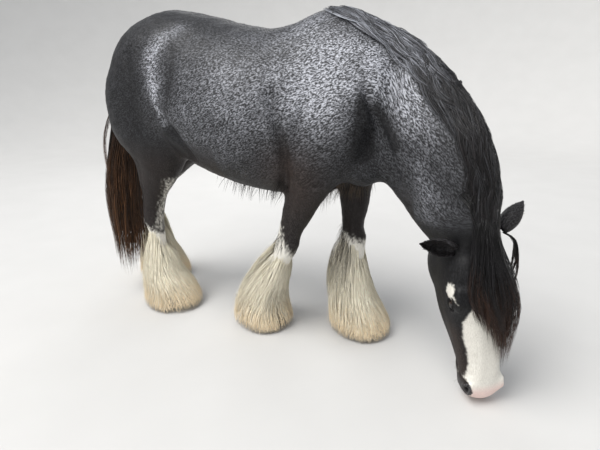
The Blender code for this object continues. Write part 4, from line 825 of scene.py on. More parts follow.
def makeSkin():
    obj = fusedForms()
    mesh = obj.data
    points = easedSkin(mesh)
    # inset by the coat's depth, then relief
    isHead = inHead(points)
    normals = normalsOf(mesh)
    points = points - normals * (skinCut["inset"] * (1 - isHead) + skinCut["headInset"] * isHead)[:, None]
    twin = asLeft(points)
    rise = np.zeros(len(points))
    for table, places in ((relief, twin), (legRelief, points)):
        for line, height, width in table:
            rise += height * swell(nearLine(places, line), width) * (1 - isHead)
    rise += (1 - isHead) * (0.0016 * ripple(points, 0.11, 21) + 0.0008 * ripple(points, 0.045, 22))
    h = toHead(points)
    twinHead = asLeft(h)
    for line, height, width in headRelief:
        rise += height * swell(nearLine(twinHead, line), width) * isHead
    # lips: a groove with a full edge on each side
    gap = nearLine(twinHead, mouth["line"])
    rise -= isHead * mouth["depth"] * swell(gap, mouth["half"])
    rise += isHead * 0.0022 * swell(gap - 0.010, 0.006)
    # nostrils: a slanted comma with a rim
    away = twinHead - nostril["place"]
    long = unit(np.array(nostril["long"]))
    wide = unit(np.cross(long, nostril["out"]))
    a, b = away @ long, away @ wide
    b = b - 9.0 * a * a
    spread = np.hypot(a / nostril["half"][0], b / nostril["half"][1])
    near = isHead * (np.linalg.norm(away, axis=1) < 0.045)
    rise -= near * nostril["depth"] * (1 - soft(spread, 0.15, 1.0))
    rise += near * nostril["rim"] * swell(spread - 1.35, 0.32)
    points = points + normals * rise[:, None]
    # the eyes' openings: the skin falls behind the eyeball
    for sign in (-1, 1):
        centre, ahead, up, out = eyeFrame(sign)
        local = (points - centre) @ np.stack([ahead, up, out]).T
        r = np.hypot(local[:, 0] / 0.0205, local[:, 1] / 0.0130)
        inside = (r < 1.35) & (local[:, 2] > -0.004) & (local[:, 2] < 0.05)
        floor = np.sqrt(np.maximum((eyes["radius"] - 0.0035) ** 2 - local[:, 0] ** 2 - local[:, 1] ** 2, 0))
        depth = (local[:, 2] - floor) * (1 - soft(r, 1.02, 1.35))
        points = points - np.where(inside, np.maximum(depth, 0), 0)[:, None] * out
    setPoints(mesh, points)
    mesh.shade_smooth()
    tone = coatTone(points)
    # dark lids, and painted shade inside the nostrils' hollows
    # painted shade: no white, silver or bare skin inside the nostril's dent, which leaves it black
    dark = near * (1 - soft(spread, 0.60, 1.02))
    eyeAway = np.linalg.norm(twinHead - eyes["place"], axis=1)
    lidDark = isHead * (1 - soft(eyeAway, 0.024, 0.030))
    tone[:, 0] *= (1 - dark) * (1 - 0.9 * lidDark)
    tone[:, 1] *= 1 - 0.6 * lidDark
    tone[:, 3] *= 1 - dark
    tone[:, 1] = np.maximum(tone[:, 1] * (1 - dark), near * 0.16 * swell(spread - 1.30, 0.22) * (a < 0.004))
    setTone(mesh, "tone", tone)
    setLie(mesh, lieCoordinates(points))
    obj.data.materials.append(coatSkin)
    return obj


skin = makeSkin()
skinPoints = pointsOf(skin.data)
skinTree = BVHTree.FromPolygons(skinPoints.tolist(), [list(p.vertices) for p in skin.data.polygons])
fleshNodes = (["head", "neck", "torso"]
              + [f"{kind}leg_{side}{end}" for kind in ("fore", "hind") for side in ("right", "left")
                 for end in ("", "_lower")])
print("skin made")


# Strands and tufts
def strandMesh(name, paths, outs, width, thick, tone, material, profile, root=None, lie=False):
    # three-sided low sections along every path, from a closed root to a point;
    # the width is multiplied by the profile of the share along
    count, steps = paths.shape[:2]
    along = unit(np.gradient(paths, axis=1))
    outs = np.broadcast_to(outs if outs.ndim == 3 else outs[:, None], paths.shape)
    side = unit(np.cross(along, outs))
    up = np.cross(side, along)
    share = np.linspace(0, 1, steps)
    wide = side[:, :-1] * (0.5 * np.asarray(width)[:, None] * profile(share[:-1]))[..., None]
    high = up[:, :-1] * (0.5 * np.asarray(thick)[:, None] * (1 - 0.6 * share[:-1]))[..., None]
    spots = paths[:, :-1]
    rim = np.stack([spots + wide - high * 0.5, spots + high, spots - wide - high * 0.5], axis=2)
    points = np.concatenate([rim.reshape(count, -1, 3), paths[:, -1:]], axis=1)
    each = points.shape[1]
    i, j = np.arange(steps - 2)[:, None] * 3, np.arange(3)[None]
    k = (j + 1) % 3
    quad = np.stack([i + j, i + j + 3, i + k + 3, i + k], axis=-1).reshape(-1, 4)
    last = (steps - 2) * 3
    tri = np.array([[0, 1, 2]] + [[last + m, each - 1, last + (m + 1) % 3] for m in range(3)])
    start = (np.arange(count) * each)[:, None, None]
    obj = meshOf(name, points.reshape(-1, 3), (quad + start).reshape(-1, 4), (tri + start).reshape(-1, 3))
    ring = np.append(np.repeat(np.arange(steps - 1), 3), steps - 1)
    tone = np.broadcast_to(tone if tone.ndim == 3 else tone[:, None], (count, steps, tone.shape[-1]))[:, ring]
    setTone(obj.data, "tone", tone.reshape(-1, tone.shape[-1]))
    root = paths[:, 0] if root is None else root
    chance = np.random.default_rng(count).random(count)
    if lie:
        setLie(obj.data, np.repeat(lieCoordinates(root), each, axis=0), np.repeat(chance, each))
    else:
        strand = np.stack([np.tile(share[ring], count), np.repeat(chance * 40, each),
                           np.tile(np.tile([0, 0.5, 1.0], steps)[:each], count)], axis=1)
        setVectors(obj.data, "strand", strand)
    place = np.repeat(bakePlace(root), each, axis=0)
    patch = (np.stack([np.tile(np.tile([-0.5, 0, 0.5], steps)[:each], count),
                       np.tile(share[ring] - 0.5, count)], axis=1) * skinCut["bakePatch"])
    setMap(obj.data, "OFBake", place + patch)
    obj.data.materials.append(material)
    print(name, count, "strands,", len(obj.data.loops) - 2 * len(obj.data.polygons), "triangles")
    return obj


def taper(power, rootShare=0.6):
    # a strand's width: swells from its root share, then narrows by (1 - t) to a power
    def profile(t):
        return (1 - t) ** power * (rootShare + (1 - rootShare) * np.sin(np.pi * np.minimum(t * 1.6, 0.5)))
    return profile


def smoothPaths(places, steps):  # Hermite curves through every row of places, slopes from the neighbours
    count = places.shape[1]
    slope = np.gradient(places, axis=1)
    at = np.linspace(0, count - 1, steps)
    low = np.minimum(at.astype(int), count - 2)
    t = (at - low)[None, :, None]
    a, b = places[:, low], places[:, low + 1]
    return ((2 * t**3 - 3 * t**2 + 1) * a + (t**3 - 2 * t**2 + t) * slope[:, low]
            + (3 * t**2 - 2 * t**3) * b + (t**3 - t**2) * slope[:, low + 1])


def hugged(tree, paths, height):
    # paths laid over a surface at their heights, then evened with their neighbours
    near, out = nearest(tree, paths)
    laid = near + out * height[..., None]
    for _ in range(2):
        laid[:, 1:-1] = laid[:, 1:-1] * 0.5 + (laid[:, :-2] + laid[:, 2:]) * 0.25
        out[:, 1:-1] = unit(out[:, 1:-1] * 0.5 + (out[:, :-2] + out[:, 2:]) * 0.25)
    return laid, out


def spreadStrands(guides, outs, perLock, width, depth, clump, wave, shortest):
    # strands round each guide: offsets in a flat ellipse that closes towards the tip,
    # with a wave that grows along
    locks, steps = guides.shape[:2]
    count = locks * perLock
    owner = np.repeat(np.arange(locks), perLock)
    reach = rng.uniform(shortest, 1.0, count)
    at = np.linspace(0, 1, steps)[None] * reach[:, None] * (steps - 1)
    low = np.minimum(at.astype(int), steps - 2)
    part = (at - low)[..., None]
    row = owner[:, None]
    middle = guides[row, low] * (1 - part) + guides[row, low + 1] * part
    out = unit(outs[row, low] * (1 - part) + outs[row, low + 1] * part)
    along = unit(np.gradient(middle, axis=1))
    side = unit(np.cross(along, out))
    t = at / (steps - 1)
    closing = 1 - (1 - clump) * t**1.3
    turn, radius = rng.uniform(0, 2 * np.pi, count), np.sqrt(rng.uniform(0, 1, count))
    across = (radius * np.cos(turn))[:, None] * width[owner][:, None] * closing
    lift = np.abs(radius * np.sin(turn))[:, None] * depth * closing
    phase = rng.uniform(0, 2 * np.pi, locks)[owner][:, None] + rng.normal(0, 0.5, count)[:, None]
    beat = rng.uniform(0.8, 1.5, locks)[owner][:, None]
    across = across + wave * np.sin(2 * np.pi * beat * t + phase) * np.minimum(t * 2.0, 1)
    lift = lift + 0.3 * wave * (1 + np.sin(2 * np.pi * beat * 1.3 * t + phase * 1.7)) * np.minimum(t * 2.0, 1)
    return middle + side * across[..., None] + out * lift[..., None], out, owner


def pushedOut(tree, paths, least, skip=1):  # strands kept a little above what they lie on
    near, out = nearest(tree, paths[:, skip:])
    rise = np.sum((paths[:, skip:] - near) * out, axis=-1, keepdims=True)
    paths[:, skip:] += out * np.where(rise > -0.05, np.maximum(least - rise, 0), 0)
    return paths


def tinted(count, steps, root, tip, spread, start=0.0, power=1.0):
    # colour from root to tip, each strand a little lighter or darker
    t = np.clip((np.linspace(0, 1, steps) - start) / (1 - start), 0, 1)[None, :, None] ** power
    base = np.array(root)[None, None] * (1 - t) + np.array(tip)[None, None] * t
    return base * np.exp(rng.normal(0, spread, (count, 1, 1)))


pieces = []


def keep(obj, slot, *nodes):
    pieces.append((obj, slot, nodes))
    return obj


keep(skin, "roan_coat", *fleshNodes)

# Mane
# Groups of locks: number, first and last share of the crest, angles at the root and tip,
# length, height off the neck
mane = {"perLock": 34, "steps": 9, "width": 0.026, "hair": 0.0034, "groups": (
    (24, 0.00, 0.30, (-2, -12), (-10, -27), (0.30, 0.46), (0.002, 0.011)),
    (44, 0.22, 0.99, (-2, -12), (-4, -21), (0.22, 0.36), (0.003, 0.014)),
    (26, 0.02, 0.97, (4, -6), (6, -10), (0.12, 0.24), (0.002, 0.009)),
    (14, 0.16, 0.62, (-10, 6), (-18, 6), (0.06, 0.13), (0.006, 0.014)),
    (26, 0.03, 0.97, (2, 12), (14, 42), (0.20, 0.32), (0.003, 0.012)))}


def crest(share, angle):
    # a place of the neck's section at a share of its length, at an angle from the top towards the left
    rows = smoothRows(neckRows[:-2], 8)
    at = np.clip(share, 0, 1) * (len(rows) - 1)
    low = np.minimum(at.astype(int), len(rows) - 2)
    part = (at - low)[..., None]
    row = rows[low] * (1 - part) + rows[low + 1] * part
    along = unit(rows[low + 1, :3] - rows[low, :3])
    turn = 0.75 * np.clip(share, 0, 1)[..., None]
    up = unit(np.cross(along, np.array((0.0, 1.0, 0.0)) * (1 - turn) + headLeft * turn))
    side = np.cross(up, along)
    c, s = np.cos(angle)[..., None], np.sin(angle)[..., None]
    reach = 1 / np.sqrt((c / row[..., 4:5]) ** 2 + (s / (row[..., 3:4] * 0.85)) ** 2)
    length = np.linalg.norm(np.diff(rows[:, :3], axis=0), axis=1).sum()
    return (row[..., :3] + (up * c + side * s) * reach
            + along * (np.maximum(share - 1, 0) * length * 1.2)[..., None])


def makeMane():
    # each lock runs along the crest: its share and its angle grow evenly, and its angle swings by a sine
    draw = np.random.default_rng(31)
    t = np.linspace(0, 1, mane["steps"])[None]
    shares, angles, heights, wides = [], [], [], []
    for count, first, last, root, tip, length, height in mane["groups"]:
        start = first + (last - first) * (np.arange(count) + draw.uniform(0.1, 0.9, count)) / count
        a, b = draw.uniform(*sorted(root), count), draw.uniform(*sorted(tip), count)
        shares.append(start[:, None] + draw.uniform(*length, count)[:, None] * t)
        swing = (draw.uniform(-9, 9, count)[:, None]
                 * np.sin(np.pi * t * draw.uniform(1.0, 2.2, count)[:, None]))
        angles.append(np.radians(a[:, None] + (b - a)[:, None] * t + swing))
        heights.append(draw.uniform(*height, count)[:, None] * np.sin(np.pi * (0.12 + 0.80 * t)) + 0.003)
        wides.append(mane["width"] * draw.uniform(0.6, 1.3, count))
    shares, angles, heights, wides = (np.concatenate(a) for a in (shares, angles, heights, wides))
    guides, outs = hugged(skinTree, crest(shares, angles), heights)
    # locks from beside the poll, which cross it and fall over the forehead to the left
    count = 16
    part = (np.arange(count) + 0.5) / count
    start = crest(0.84 + 0.15 * part, np.radians(draw.uniform(-26, 4, count)))
    over = [fromHead(np.stack([x + 0 * part, y + w * part, z + 0 * part], axis=1)) for x, y, w, z in (
        (-0.010, -0.010, 0.030, 0.070), (0.070, 0.020, 0.050, 0.080), (0.160, 0.052, 0.052, 0.070),
        (0.260, 0.062, 0.060, 0.045))]
    across = smoothPaths(np.stack([start] + over, axis=1), mane["steps"])
    more, moreOuts = hugged(skinTree, across, 0.004
                            + 0.022 * np.sin(np.pi * (0.1 + 0.75 * t)) * draw.uniform(0.4, 1.0, (count, 1)))
    guides, outs = np.concatenate([guides, more]), np.concatenate([outs, moreOuts])
    wides = np.concatenate([wides, mane["width"] * draw.uniform(0.5, 1.0, count)])
    paths, outs, owner = spreadStrands(guides, outs, mane["perLock"], wides, 0.007, 0.30, 0.006, 0.55)
    paths = pushedOut(skinTree, paths, 0.002)
    root = np.concatenate([shares[:, 0], np.ones(count)])[owner]
    grey = (1 - soft(root, 0.14, 0.58)) * rng.random(len(owner)) ** 2.2 + 0.10 * rng.random(len(owner)) ** 6
    tone = tinted(len(paths), mane["steps"], (0.0085, 0.008, 0.009), (0.012, 0.010, 0.010), 0.45)
    tone = tone * (1 - grey[:, None, None]) + np.array((0.46, 0.48, 0.54)) * grey[:, None, None]
    hair = mane["hair"] * rng.uniform(0.45, 1.3, len(paths))
    near = sum(group[0] for group in mane["groups"][:2])
    for name, part in (("mane", owner < near), ("mane_crest", owner >= near)):
        keep(strandMesh(name, paths[part], outs[part], hair[part], hair[part] * 0.28, tone[part], darkHair,
                        taper(0.6)), "black_hair")


makeMane()

# Forelock
# Layers of locks: number, height off the face, how far along the head they end on the right and the left
forelock = {"perLock": 39, "steps": 9, "width": 0.019, "hair": 0.0028, "layers": (
    (24, 0.006, 0.31, 0.43), (24, 0.016, 0.35, 0.50), (18, 0.030, 0.35, 0.48))}
# Where the forelock lies: along the head, middle and half width
forelockFan = np.array(mm([(-30, -8, 42), (60, -10, 66), (150, -6, 88), (220, 2, 95), (300, 22, 90),
                           (380, 42, 68), (460, 54, 52), (520, 58, 48)]))


def makeForelock():
    # locks fan from the poll over the face: across from the fan's middle by its half width,
    # with a swing that grows along
    draw = np.random.default_rng(32)
    t = np.linspace(0, 1, forelock["steps"])[None]
    guides, outs, ends = [], [], []
    for count, height, right, left in forelock["layers"]:
        across = -1 + 2 * (np.arange(count) + draw.uniform(0.1, 0.9, count)) / count
        start = draw.uniform(-0.045, 0.030, count)
        end = (right + (left - right) * soft(across, -0.9, 0.1)) * draw.uniform(0.88, 1.06, count)
        x = start[:, None] + (end - start)[:, None] * t
        middle, half = (np.interp(x, forelockFan[:, 0], forelockFan[:, k]) for k in (1, 2))
        swing = (0.016 * np.sin(2 * np.pi * draw.uniform(0.6, 1.3, count)[:, None] * t
                                + draw.uniform(0, 6, count)[:, None]) * t)
        y = middle + half * across[:, None] * (0.75 + 0.25 * t) + swing
        lift = (height * np.sin(np.pi * (0.10 + 0.72 * t)) + 0.003) * draw.uniform(0.7, 1.2, count)[:, None]
        path, out = hugged(skinTree, fromHead(np.stack([x, y, 0.10 + 0 * x], axis=-1)), lift)
        guides.append(path + headLeft * (0.014 * soft(across, 0.2, 1.0)[:, None]
                                         * np.sin(np.pi * t * 0.8))[..., None])
        outs.append(out)
        ends.append(end)
    guides, outs = np.concatenate(guides), np.concatenate(outs)
    # a loose wisp under the left ear
    count = 3
    root = fromHead((0.030, 0.088, -0.020))
    falls = np.array([(0, 0, 0), (0.035, 0.030, -0.030), (0.050, 0.030, -0.100), (0.046, 0.022, -0.170),
                      (0.036, 0.010, -0.230)])
    wisp = smoothPaths(root + falls[None] * np.array((1.0, 0.85, 1.1))[:, None, None], forelock["steps"])
    guides = np.concatenate([guides, wisp])
    outs = np.concatenate([outs, np.broadcast_to(headLeft, wisp.shape)])
    wides = np.concatenate([draw.uniform(0.6, 1.4, len(guides) - count), np.full(count, 0.25)])
    wides = forelock["width"] * wides
    paths, outs, owner = spreadStrands(guides, outs, forelock["perLock"], wides, 0.011, 0.45, 0.008, 0.50)
    paths = pushedOut(skinTree, paths, 0.002)
    paths[..., 2] = np.maximum(paths[..., 2], 0.01)
    tip = np.array((0.085, 0.036, 0.018)) * draw.uniform(0.15, 1.3, (len(guides), 1))[owner]
    t = np.clip((np.linspace(0, 1, forelock["steps"]) - 0.50) / 0.50, 0, 1)[None, :, None] ** 1.3
    tone = np.array((0.0075, 0.007, 0.008)) * (1 - t) + tip[:, None] * t
    tone = tone * np.exp(rng.normal(0, 0.40, (len(paths), 1, 1)))
    hair = forelock["hair"] * rng.uniform(0.5, 1.4, len(paths))
    return strandMesh("forelock", paths, outs, hair, hair * 0.28, tone, darkHair, taper(0.6))


keep(makeForelock(), "black_hair")

# Tail
tail = {"locks": 68, "perLock": 39, "steps": 10, "width": 0.040, "hair": 0.0034, "top": 1.31, "fall": 0.45,
        "middle": (-0.806, -0.028), "half": (0.070, 0.130)}


def makeTail():
    # locks leave the dock round its back, swing out by a half sine and close to a flat oval
    # that drops to the floor
    rows = np.array(tailRows)[::-1]
    slim = [tuple(np.array(row) * (1, 1, 1, 0.80, 0.80, 0.80, 1, 1)) for row in tailRows]
    core = outward(closedGrid("tail_core", loft(slim, sides=20, perSpan=3)))
    setTone(core.data, "tone", np.tile((0.010, 0.008, 0.007), (len(core.data.vertices), 1)))
    setVectors(core.data, "strand", pointsOf(core.data))
    core.data.materials.append(tailHair)
    count = tail["locks"]
    number = np.arange(count)
    height = tail["top"] - tail["fall"] * (number + 0.5) / count
    angle = np.pi + 2.70 * np.sin(2.4 * number + 0.4)
    x, y, wide, deep = (np.interp(height, rows[:, 2], rows[:, k]) for k in (0, 1, 3, 4))
    out = np.stack([np.cos(angle), np.sin(angle), 0 * angle], axis=1)
    root = np.stack([x + out[:, 0] * deep * 0.55, y + out[:, 1] * wide * 0.55, height], axis=1)
    low = np.where(number % 4 > 0, rng.uniform(0.085, 0.20, count), rng.uniform(0.28, 0.60, count))
    t = np.linspace(0, 1, tail["steps"])[None]
    flare = np.sin(np.pi * np.minimum(t * 1.15, 1.0)) * 0.016 + 0.006
    blend = soft(t * 1.5, 0, 1)
    narrow = 1 - 0.15 * t**2
    swing = 0.007 * np.sin(3.4 * t + 1.7 * number[:, None])
    z = height[:, None] + (low - height)[:, None] * t
    spotX = (root[:, :1] * (1 - blend) + (tail["middle"][0] + out[:, :1] * tail["half"][0] * narrow) * blend
             + out[:, :1] * flare * (t > 0) + swing)
    spotY = (root[:, 1:2] * (1 - blend) + (tail["middle"][1] + out[:, 1:2] * tail["half"][1] * narrow) * blend
             + out[:, 1:2] * flare * (t > 0) + swing)
    guides = np.stack([spotX, spotY - 0.02 * t**2, z], axis=-1)
    guides[:, 0] = root
    guides = pushedOut(skinTree, guides, 0.006)
    outs = np.broadcast_to(out[:, None], guides.shape)
    wides = tail["width"] * rng.uniform(0.6, 1.2, count)
    paths, outs, owner = spreadStrands(guides, outs, tail["perLock"], wides, 0.013, 0.72, 0.007, 0.72)
    paths = pushedOut(skinTree, paths, 0.003)
    tone = tinted(len(paths), tail["steps"], (0.010, 0.0075, 0.006), (0.085, 0.038, 0.016), 0.55, 0.20, 1.2)
    hair = tail["hair"] * rng.uniform(0.5, 1.4, len(paths))
    return core, strandMesh("tail_hair", paths, outs, hair, hair * 0.28, tone, tailHair, taper(0.42))


tailCore, tailStrands = makeTail()
keep(tailCore, "brown_tail", "tail")
keep(tailStrands, "brown_tail")

# Feather
feather = {"locks": 130, "perLock": 26, "steps": 6, "hair": 0.0030, "low": 0.002, "stray": 0.07,
           "cream": (1.0, 0.94, 0.76), "tan": (1.0, 0.79, 0.50), "dark": (0.030, 0.017, 0.011)}


def makeFeather(leg):
    # strands drop from the leg at a share of the bell that grows quickly to their own,
    # and close a little round their lock
    draw = np.random.default_rng(51 + list(legRows).index(leg))
    locks, per, steps = feather["locks"], feather["perLock"], feather["steps"]
    owner = np.repeat(np.arange(locks), per)
    count = locks * per
    lockAngle = (np.arange(locks) * 2.399963 + draw.uniform(-0.2, 0.2, locks)) % (2 * np.pi)
    ahead = soft(np.cos(lockAngle), 0.1, 0.9)
    top = (0.49 if leg.startswith("fore") else 0.43) - 0.10 * ahead
    lockHigh = 0.06 + (top - 0.06) * draw.random(locks) ** 0.75
    lockLength = draw.uniform(0.15, 0.30, locks) * (1 - 0.25 * ahead)
    lockLie = draw.uniform(0.91, 1.00, locks)
    angle = lockAngle[owner] + draw.normal(0, 0.31, count)
    high = lockHigh[owner] + draw.normal(0, 0.015, count)
    low = high - lockLength[owner] * draw.uniform(0.7, 1.15, count)
    low = np.where(low < 0.055, feather["low"] + draw.uniform(0, 0.022, count), low)
    t = np.linspace(0, 1, steps)[None]
    gather = 1 - 0.26 * t**1.5
    swing = (0.07 * np.sin(2.4 * t + lockAngle[owner][:, None] * 3) * t
             + 0.04 * np.sin(6 * t + draw.uniform(0, 6, count)[:, None]) * t)
    turned = lockAngle[owner][:, None] + (angle - lockAngle[owner])[:, None] * gather + swing
    height = high[:, None] + (low - high)[:, None] * t
    rooted = skinCut["coreShare"] - 0.05
    share = (rooted + (lockLie[owner][:, None] - rooted) * np.minimum(2.2 * t, 1.0) ** 0.8
             + 0.012 * draw.normal(0, 1, count)[:, None] * t)
    stray = (draw.random(count) < feather["stray"])[:, None]
    share = share + stray * (1.02 - lockLie[owner][:, None] + draw.uniform(0, 0.09, (count, 1))) * t**1.5
    share = share + (0.05 * draw.random(count)[:, None] * soft(0.05 - low, 0, 0.02)[:, None]) * t**4
    paths = bellPoint(leg, height, turned, share)
    outs = unit(np.stack([np.cos(turned), np.sin(turned), 0.25 + 0 * turned], axis=-1))
    tan = 0.9 * soft(0.19 - height + 0.035 * draw.normal(0, 1, (count, 1)), 0.0, 0.18)[..., None]
    tone = np.array(feather["cream"]) * (1 - tan) + np.array(feather["tan"]) * tan
    tone = tone * np.exp(draw.normal(-0.02, 0.09, (count, 1, 1)) + draw.normal(0, 0.05, (locks, 1, 1))[owner])
    rear = soft(-np.cos(lockAngle), -0.1, 0.3)
    darkShare = (0.65 if leg == "fore_left" else 0.06) * rear * soft(lockHigh, 0.36, 0.42)
    darkLock = draw.random(locks) < darkShare
    dark = (darkLock[owner] & (draw.random(count) < 0.85))[:, None, None] * (1 - 0.75 * t[..., None])
    tone = tone * (1 - dark) + np.array(feather["dark"]) * dark
    hair = feather["hair"] * draw.uniform(0.6, 1.35, count) * np.where(stray[:, 0], 0.5, 1)
    return strandMesh("feather_" + leg, paths, outs, hair, hair * 0.20, tone, paleHair, taper(0.5))


for leg in legRows:
    keep(makeFeather(leg), "white_feather")

# Short fur: small tufts over every side
skinTris = np.array([(p.vertices[0], p.vertices[i], p.vertices[i + 1]) for p in skin.data.polygons
                     for i in range(1, len(p.vertices) - 1)])
skinNormals = normalsOf(skin.data)


def scatter(count, weightOf, draw):  # random places on the skin, by area and a weight of the place
    a, b, c = (skinPoints[skinTris[:, k]] for k in range(3))
    area = 0.5 * np.linalg.norm(np.cross(b - a, c - a), axis=1)
    chance = area * weightOf((a + b + c) / 3)
    pick = draw.choice(len(skinTris), count, p=chance / chance.sum())
    s, t = np.sqrt(draw.random(count)), draw.random(count)
    mix = np.stack([1 - s, s * (1 - t), s * t], axis=1)[..., None]
    corners = skinTris[pick]
    return (skinPoints[corners] * mix).sum(axis=1), unit((skinNormals[corners] * mix).sum(axis=1))


def makeFur(name, count, weightOf, length, width, lift, seed):
    draw = np.random.default_rng(seed)
    spots, normals = scatter(count, weightOf, draw)
    way = unit(lieOf(spots, normals) + 0.16 * draw.normal(size=spots.shape))
    way = alongSkin(way, normals)
    long = (length * draw.uniform(0.6, 1.3, count))[:, None]
    high = (lift * draw.uniform(0.4, 1.3, count))[:, None]
    paths = np.stack([spots - normals * 0.0006, spots + way * long + normals * high], axis=1)
    wide = width * draw.uniform(0.6, 1.3, count)
    return strandMesh(name, paths, normals, wide, wide * 0.30, coatTone(spots), coatTuft, taper(0.5, 0.9),
                      root=spots, lie=True)


def clearOfEyes(p):
    h = toHead(p)
    twin = asLeft(h)
    return ((np.linalg.norm(twin - eyes["place"], axis=1) > 0.034)
            & (np.linalg.norm(twin - nostril["place"], axis=1) > 0.026)
            & (nearLine(twin, mouth["line"]) > 0.006))


furs = {
    "fur_front": (42000, lambda p: (p[:, 0] > 0.12) * (1 - inHead(p)) * (1 - inNeck(p)) * (p[:, 2] > 0.46),
                  0.0085, 0.0023, 0.0014),
    "fur_rear": (42500, lambda p: (p[:, 0] <= 0.12) * (p[:, 2] > 0.46), 0.0085, 0.0023, 0.0014),
    "fur_neck": (27000, lambda p: inNeck(p) * (1 - inHead(p)), 0.0080, 0.0021, 0.0013),
    "fur_head": (32500, lambda p: inHead(p) * clearOfEyes(p) * (1 - 0.88 * soft(toHead(p)[:, 0], 0.48, 0.56)),
                 0.0075, 0.0011, 0.0009)}
for seed, (name, (count, weight, length, width, lift)) in enumerate(furs.items()):
    keep(makeFur(name, count, weight, length, width, lift, 40 + seed),
         "roan_coat" if seed < 2 else "black_hair")

# Ears
ears = {
    "length": 0.138, "width": 0.034, "wall": 0.17, "edge": 0.0042, "rows": 26, "arc": 17, "hairs": 900,
    "left": ((0.022, 0.091, -0.033), (-0.486, 0.83, -0.27), (0.80, 0.30, -0.52)),
    "right": ((0.058, -0.074, -0.026), (-0.27, -0.94, 0.20), (0.54, 0.00, 0.76))}


def makeEar(side):
    # a crescent section, outer arc then inner arc, carried from root to tip with the leaf's width
    base, axis, opening = (np.array(v, float) for v in ears[side])
    root = fromHead(base)
    along = unit(axis @ headTurn)
    face = opening @ headTurn
    face = unit(face - along * (face @ along))
    across = np.cross(face, along)
    t = np.linspace(0, 1, ears["rows"])[:, None]
    width = ears["width"] * np.sin(np.pi * (0.17 + 0.80 * t) ** 0.95) ** 0.85 * (1 - 0.25 * soft(t, 0.8, 1.0))
    half = 2.45 - 1.25 * soft(t, 0.05, 0.85)
    arc = np.linspace(-1, 1, ears["arc"])[None]
    outerAngle, innerAngle = half * arc, half * 0.94 * arc[:, ::-1]
    wall = np.minimum(ears["wall"], ears["edge"] / np.maximum(width, 1e-4))
    depth = np.where(t < 0.1, 0.15, 1.0)
    outer = np.stack([np.sin(outerAngle) * width, -np.cos(outerAngle) * width * 0.82], axis=-1)
    inner = np.stack([np.sin(innerAngle) * width * (1 - wall),
                      -np.cos(innerAngle) * width * 0.82 * (1 - wall) * depth], axis=-1)
    ring = np.concatenate([outer, inner], axis=1)
    middle = root + along * ears["length"] * t - face * 0.016 * t**2
    grid = middle[:, None] + across * ring[..., :1] + face * ring[..., 1:]
    grid = grid + face * (0.0012 * np.sin(9 * t + 0.4))[:, None]
    obj = outward(closedGrid("ear_skin_" + side, grid))
    points = pointsOf(obj.data)
    tone = np.tile((0.0, 0.06, 0.15, 0.0), (len(points), 1))
    setTone(obj.data, "tone", tone)
    setLie(obj.data, points @ np.stack([along, across, face]).T)
    obj.data.materials.append(coatSkin)
    # hair in and round the cup
    draw = np.random.default_rng(61 if side == "left" else 62)
    count = ears["hairs"]
    row = draw.integers(2, 23, count)
    col = draw.integers(0, ring.shape[1], count)
    spots = grid[row, col]
    middleOf = middle[row]
    out = unit(spots - middleOf)
    inside = col >= ears["arc"]
    out = np.where(inside[:, None], -out * 0.4 + face * 0.8, out)
    way = unit(along + np.where(inside, 0.35, 0.06)[:, None] * out + 0.12 * draw.normal(size=spots.shape))
    long = (np.where(inside, draw.uniform(0.012, 0.026, count), draw.uniform(0.006, 0.011, count))[:, None]
            * (1 - 0.6 * (row / (ears["rows"] - 1))[:, None] ** 3))
    u = np.linspace(0, 1, 4)[None, :, None]
    paths = (spots[:, None] - out[:, None] * 0.001 + way[:, None] * long[:, None] * u
             + out[:, None] * np.where(inside, 0.004, 0.0010)[:, None, None] * np.sin(np.pi * u * 0.6))
    wide = draw.uniform(0.0012, 0.0024, count)
    tone = np.tile((0.014, 0.012, 0.012), (count, 1)) * draw.uniform(0.6, 2.2, (count, 1))
    tufts = strandMesh("ear_hair_" + side, paths, out, wide, wide * 0.4, tone, darkHair, taper(0.5, 0.9))
    return obj, tufts


for side in ("right", "left"):
    earSkin, earHair = makeEar(side)
    keep(earSkin, "black_hair", "ear_" + side)
    keep(earHair, "black_hair")
print("ears made")

# Eyes, lids and lashes
lid = {"half": 0.0180, "upper": 0.0112, "lower": 0.0086, "turn": -0.14, "sides": 48, "lashes": 44}


def eyeMaterial():  # pupil and iris by the eye's own map, under a clear wet coat
    material, tree, shader = newMaterial("wetEye")
    uv = addNode(tree, "ShaderNodeUVMap", {"uv_map": "eyeMap"}).outputs[0]
    centred = addNode(tree, "ShaderNodeMapping", Vector=uv, Location=(-0.5, -0.5, 0)).outputs[0]
    pupilSpace = addNode(tree, "ShaderNodeMapping", Vector=centred, Scale=(6.6, 3.3, 1)).outputs[0]
    pupil = addNode(tree, "ShaderNodeVectorMath", {"operation": "LENGTH"}, i0=pupilSpace).outputs["Value"]
    ring = addNode(tree, "ShaderNodeVectorMath", {"operation": "LENGTH"}, i0=centred).outputs["Value"]
    fibres = addNode(tree, "ShaderNodeTexNoise", Vector=centred, Scale=26.0, Detail=4.0,
                     Roughness=0.7).outputs["Fac"]
    iris = mixColour(tree, fibres, (0.012, 0.006, 0.003, 1), (0.050, 0.022, 0.009, 1))
    edge = addNode(tree, "ShaderNodeMapRange", Value=ring, From_Min=0.30, From_Max=0.36).outputs[0]
    colour = mixColour(tree, edge, iris, (0.020, 0.012, 0.010, 1))
    hole = addNode(tree, "ShaderNodeMapRange", Value=pupil, From_Min=0.90, From_Max=1.05).outputs[0]
    tree.links.new(mixColour(tree, hole, (0.002, 0.003, 0.006, 1), colour), shader.inputs["Base Color"])
    bumped(tree, shader, fibres, 0.0002, 0.2)
    shader.inputs["Roughness"].default_value = 0.10
    shader.inputs["Coat Weight"].default_value = 1.0
    shader.inputs["Coat Roughness"].default_value = 0.02
    return material


wetEye = eyeMaterial()


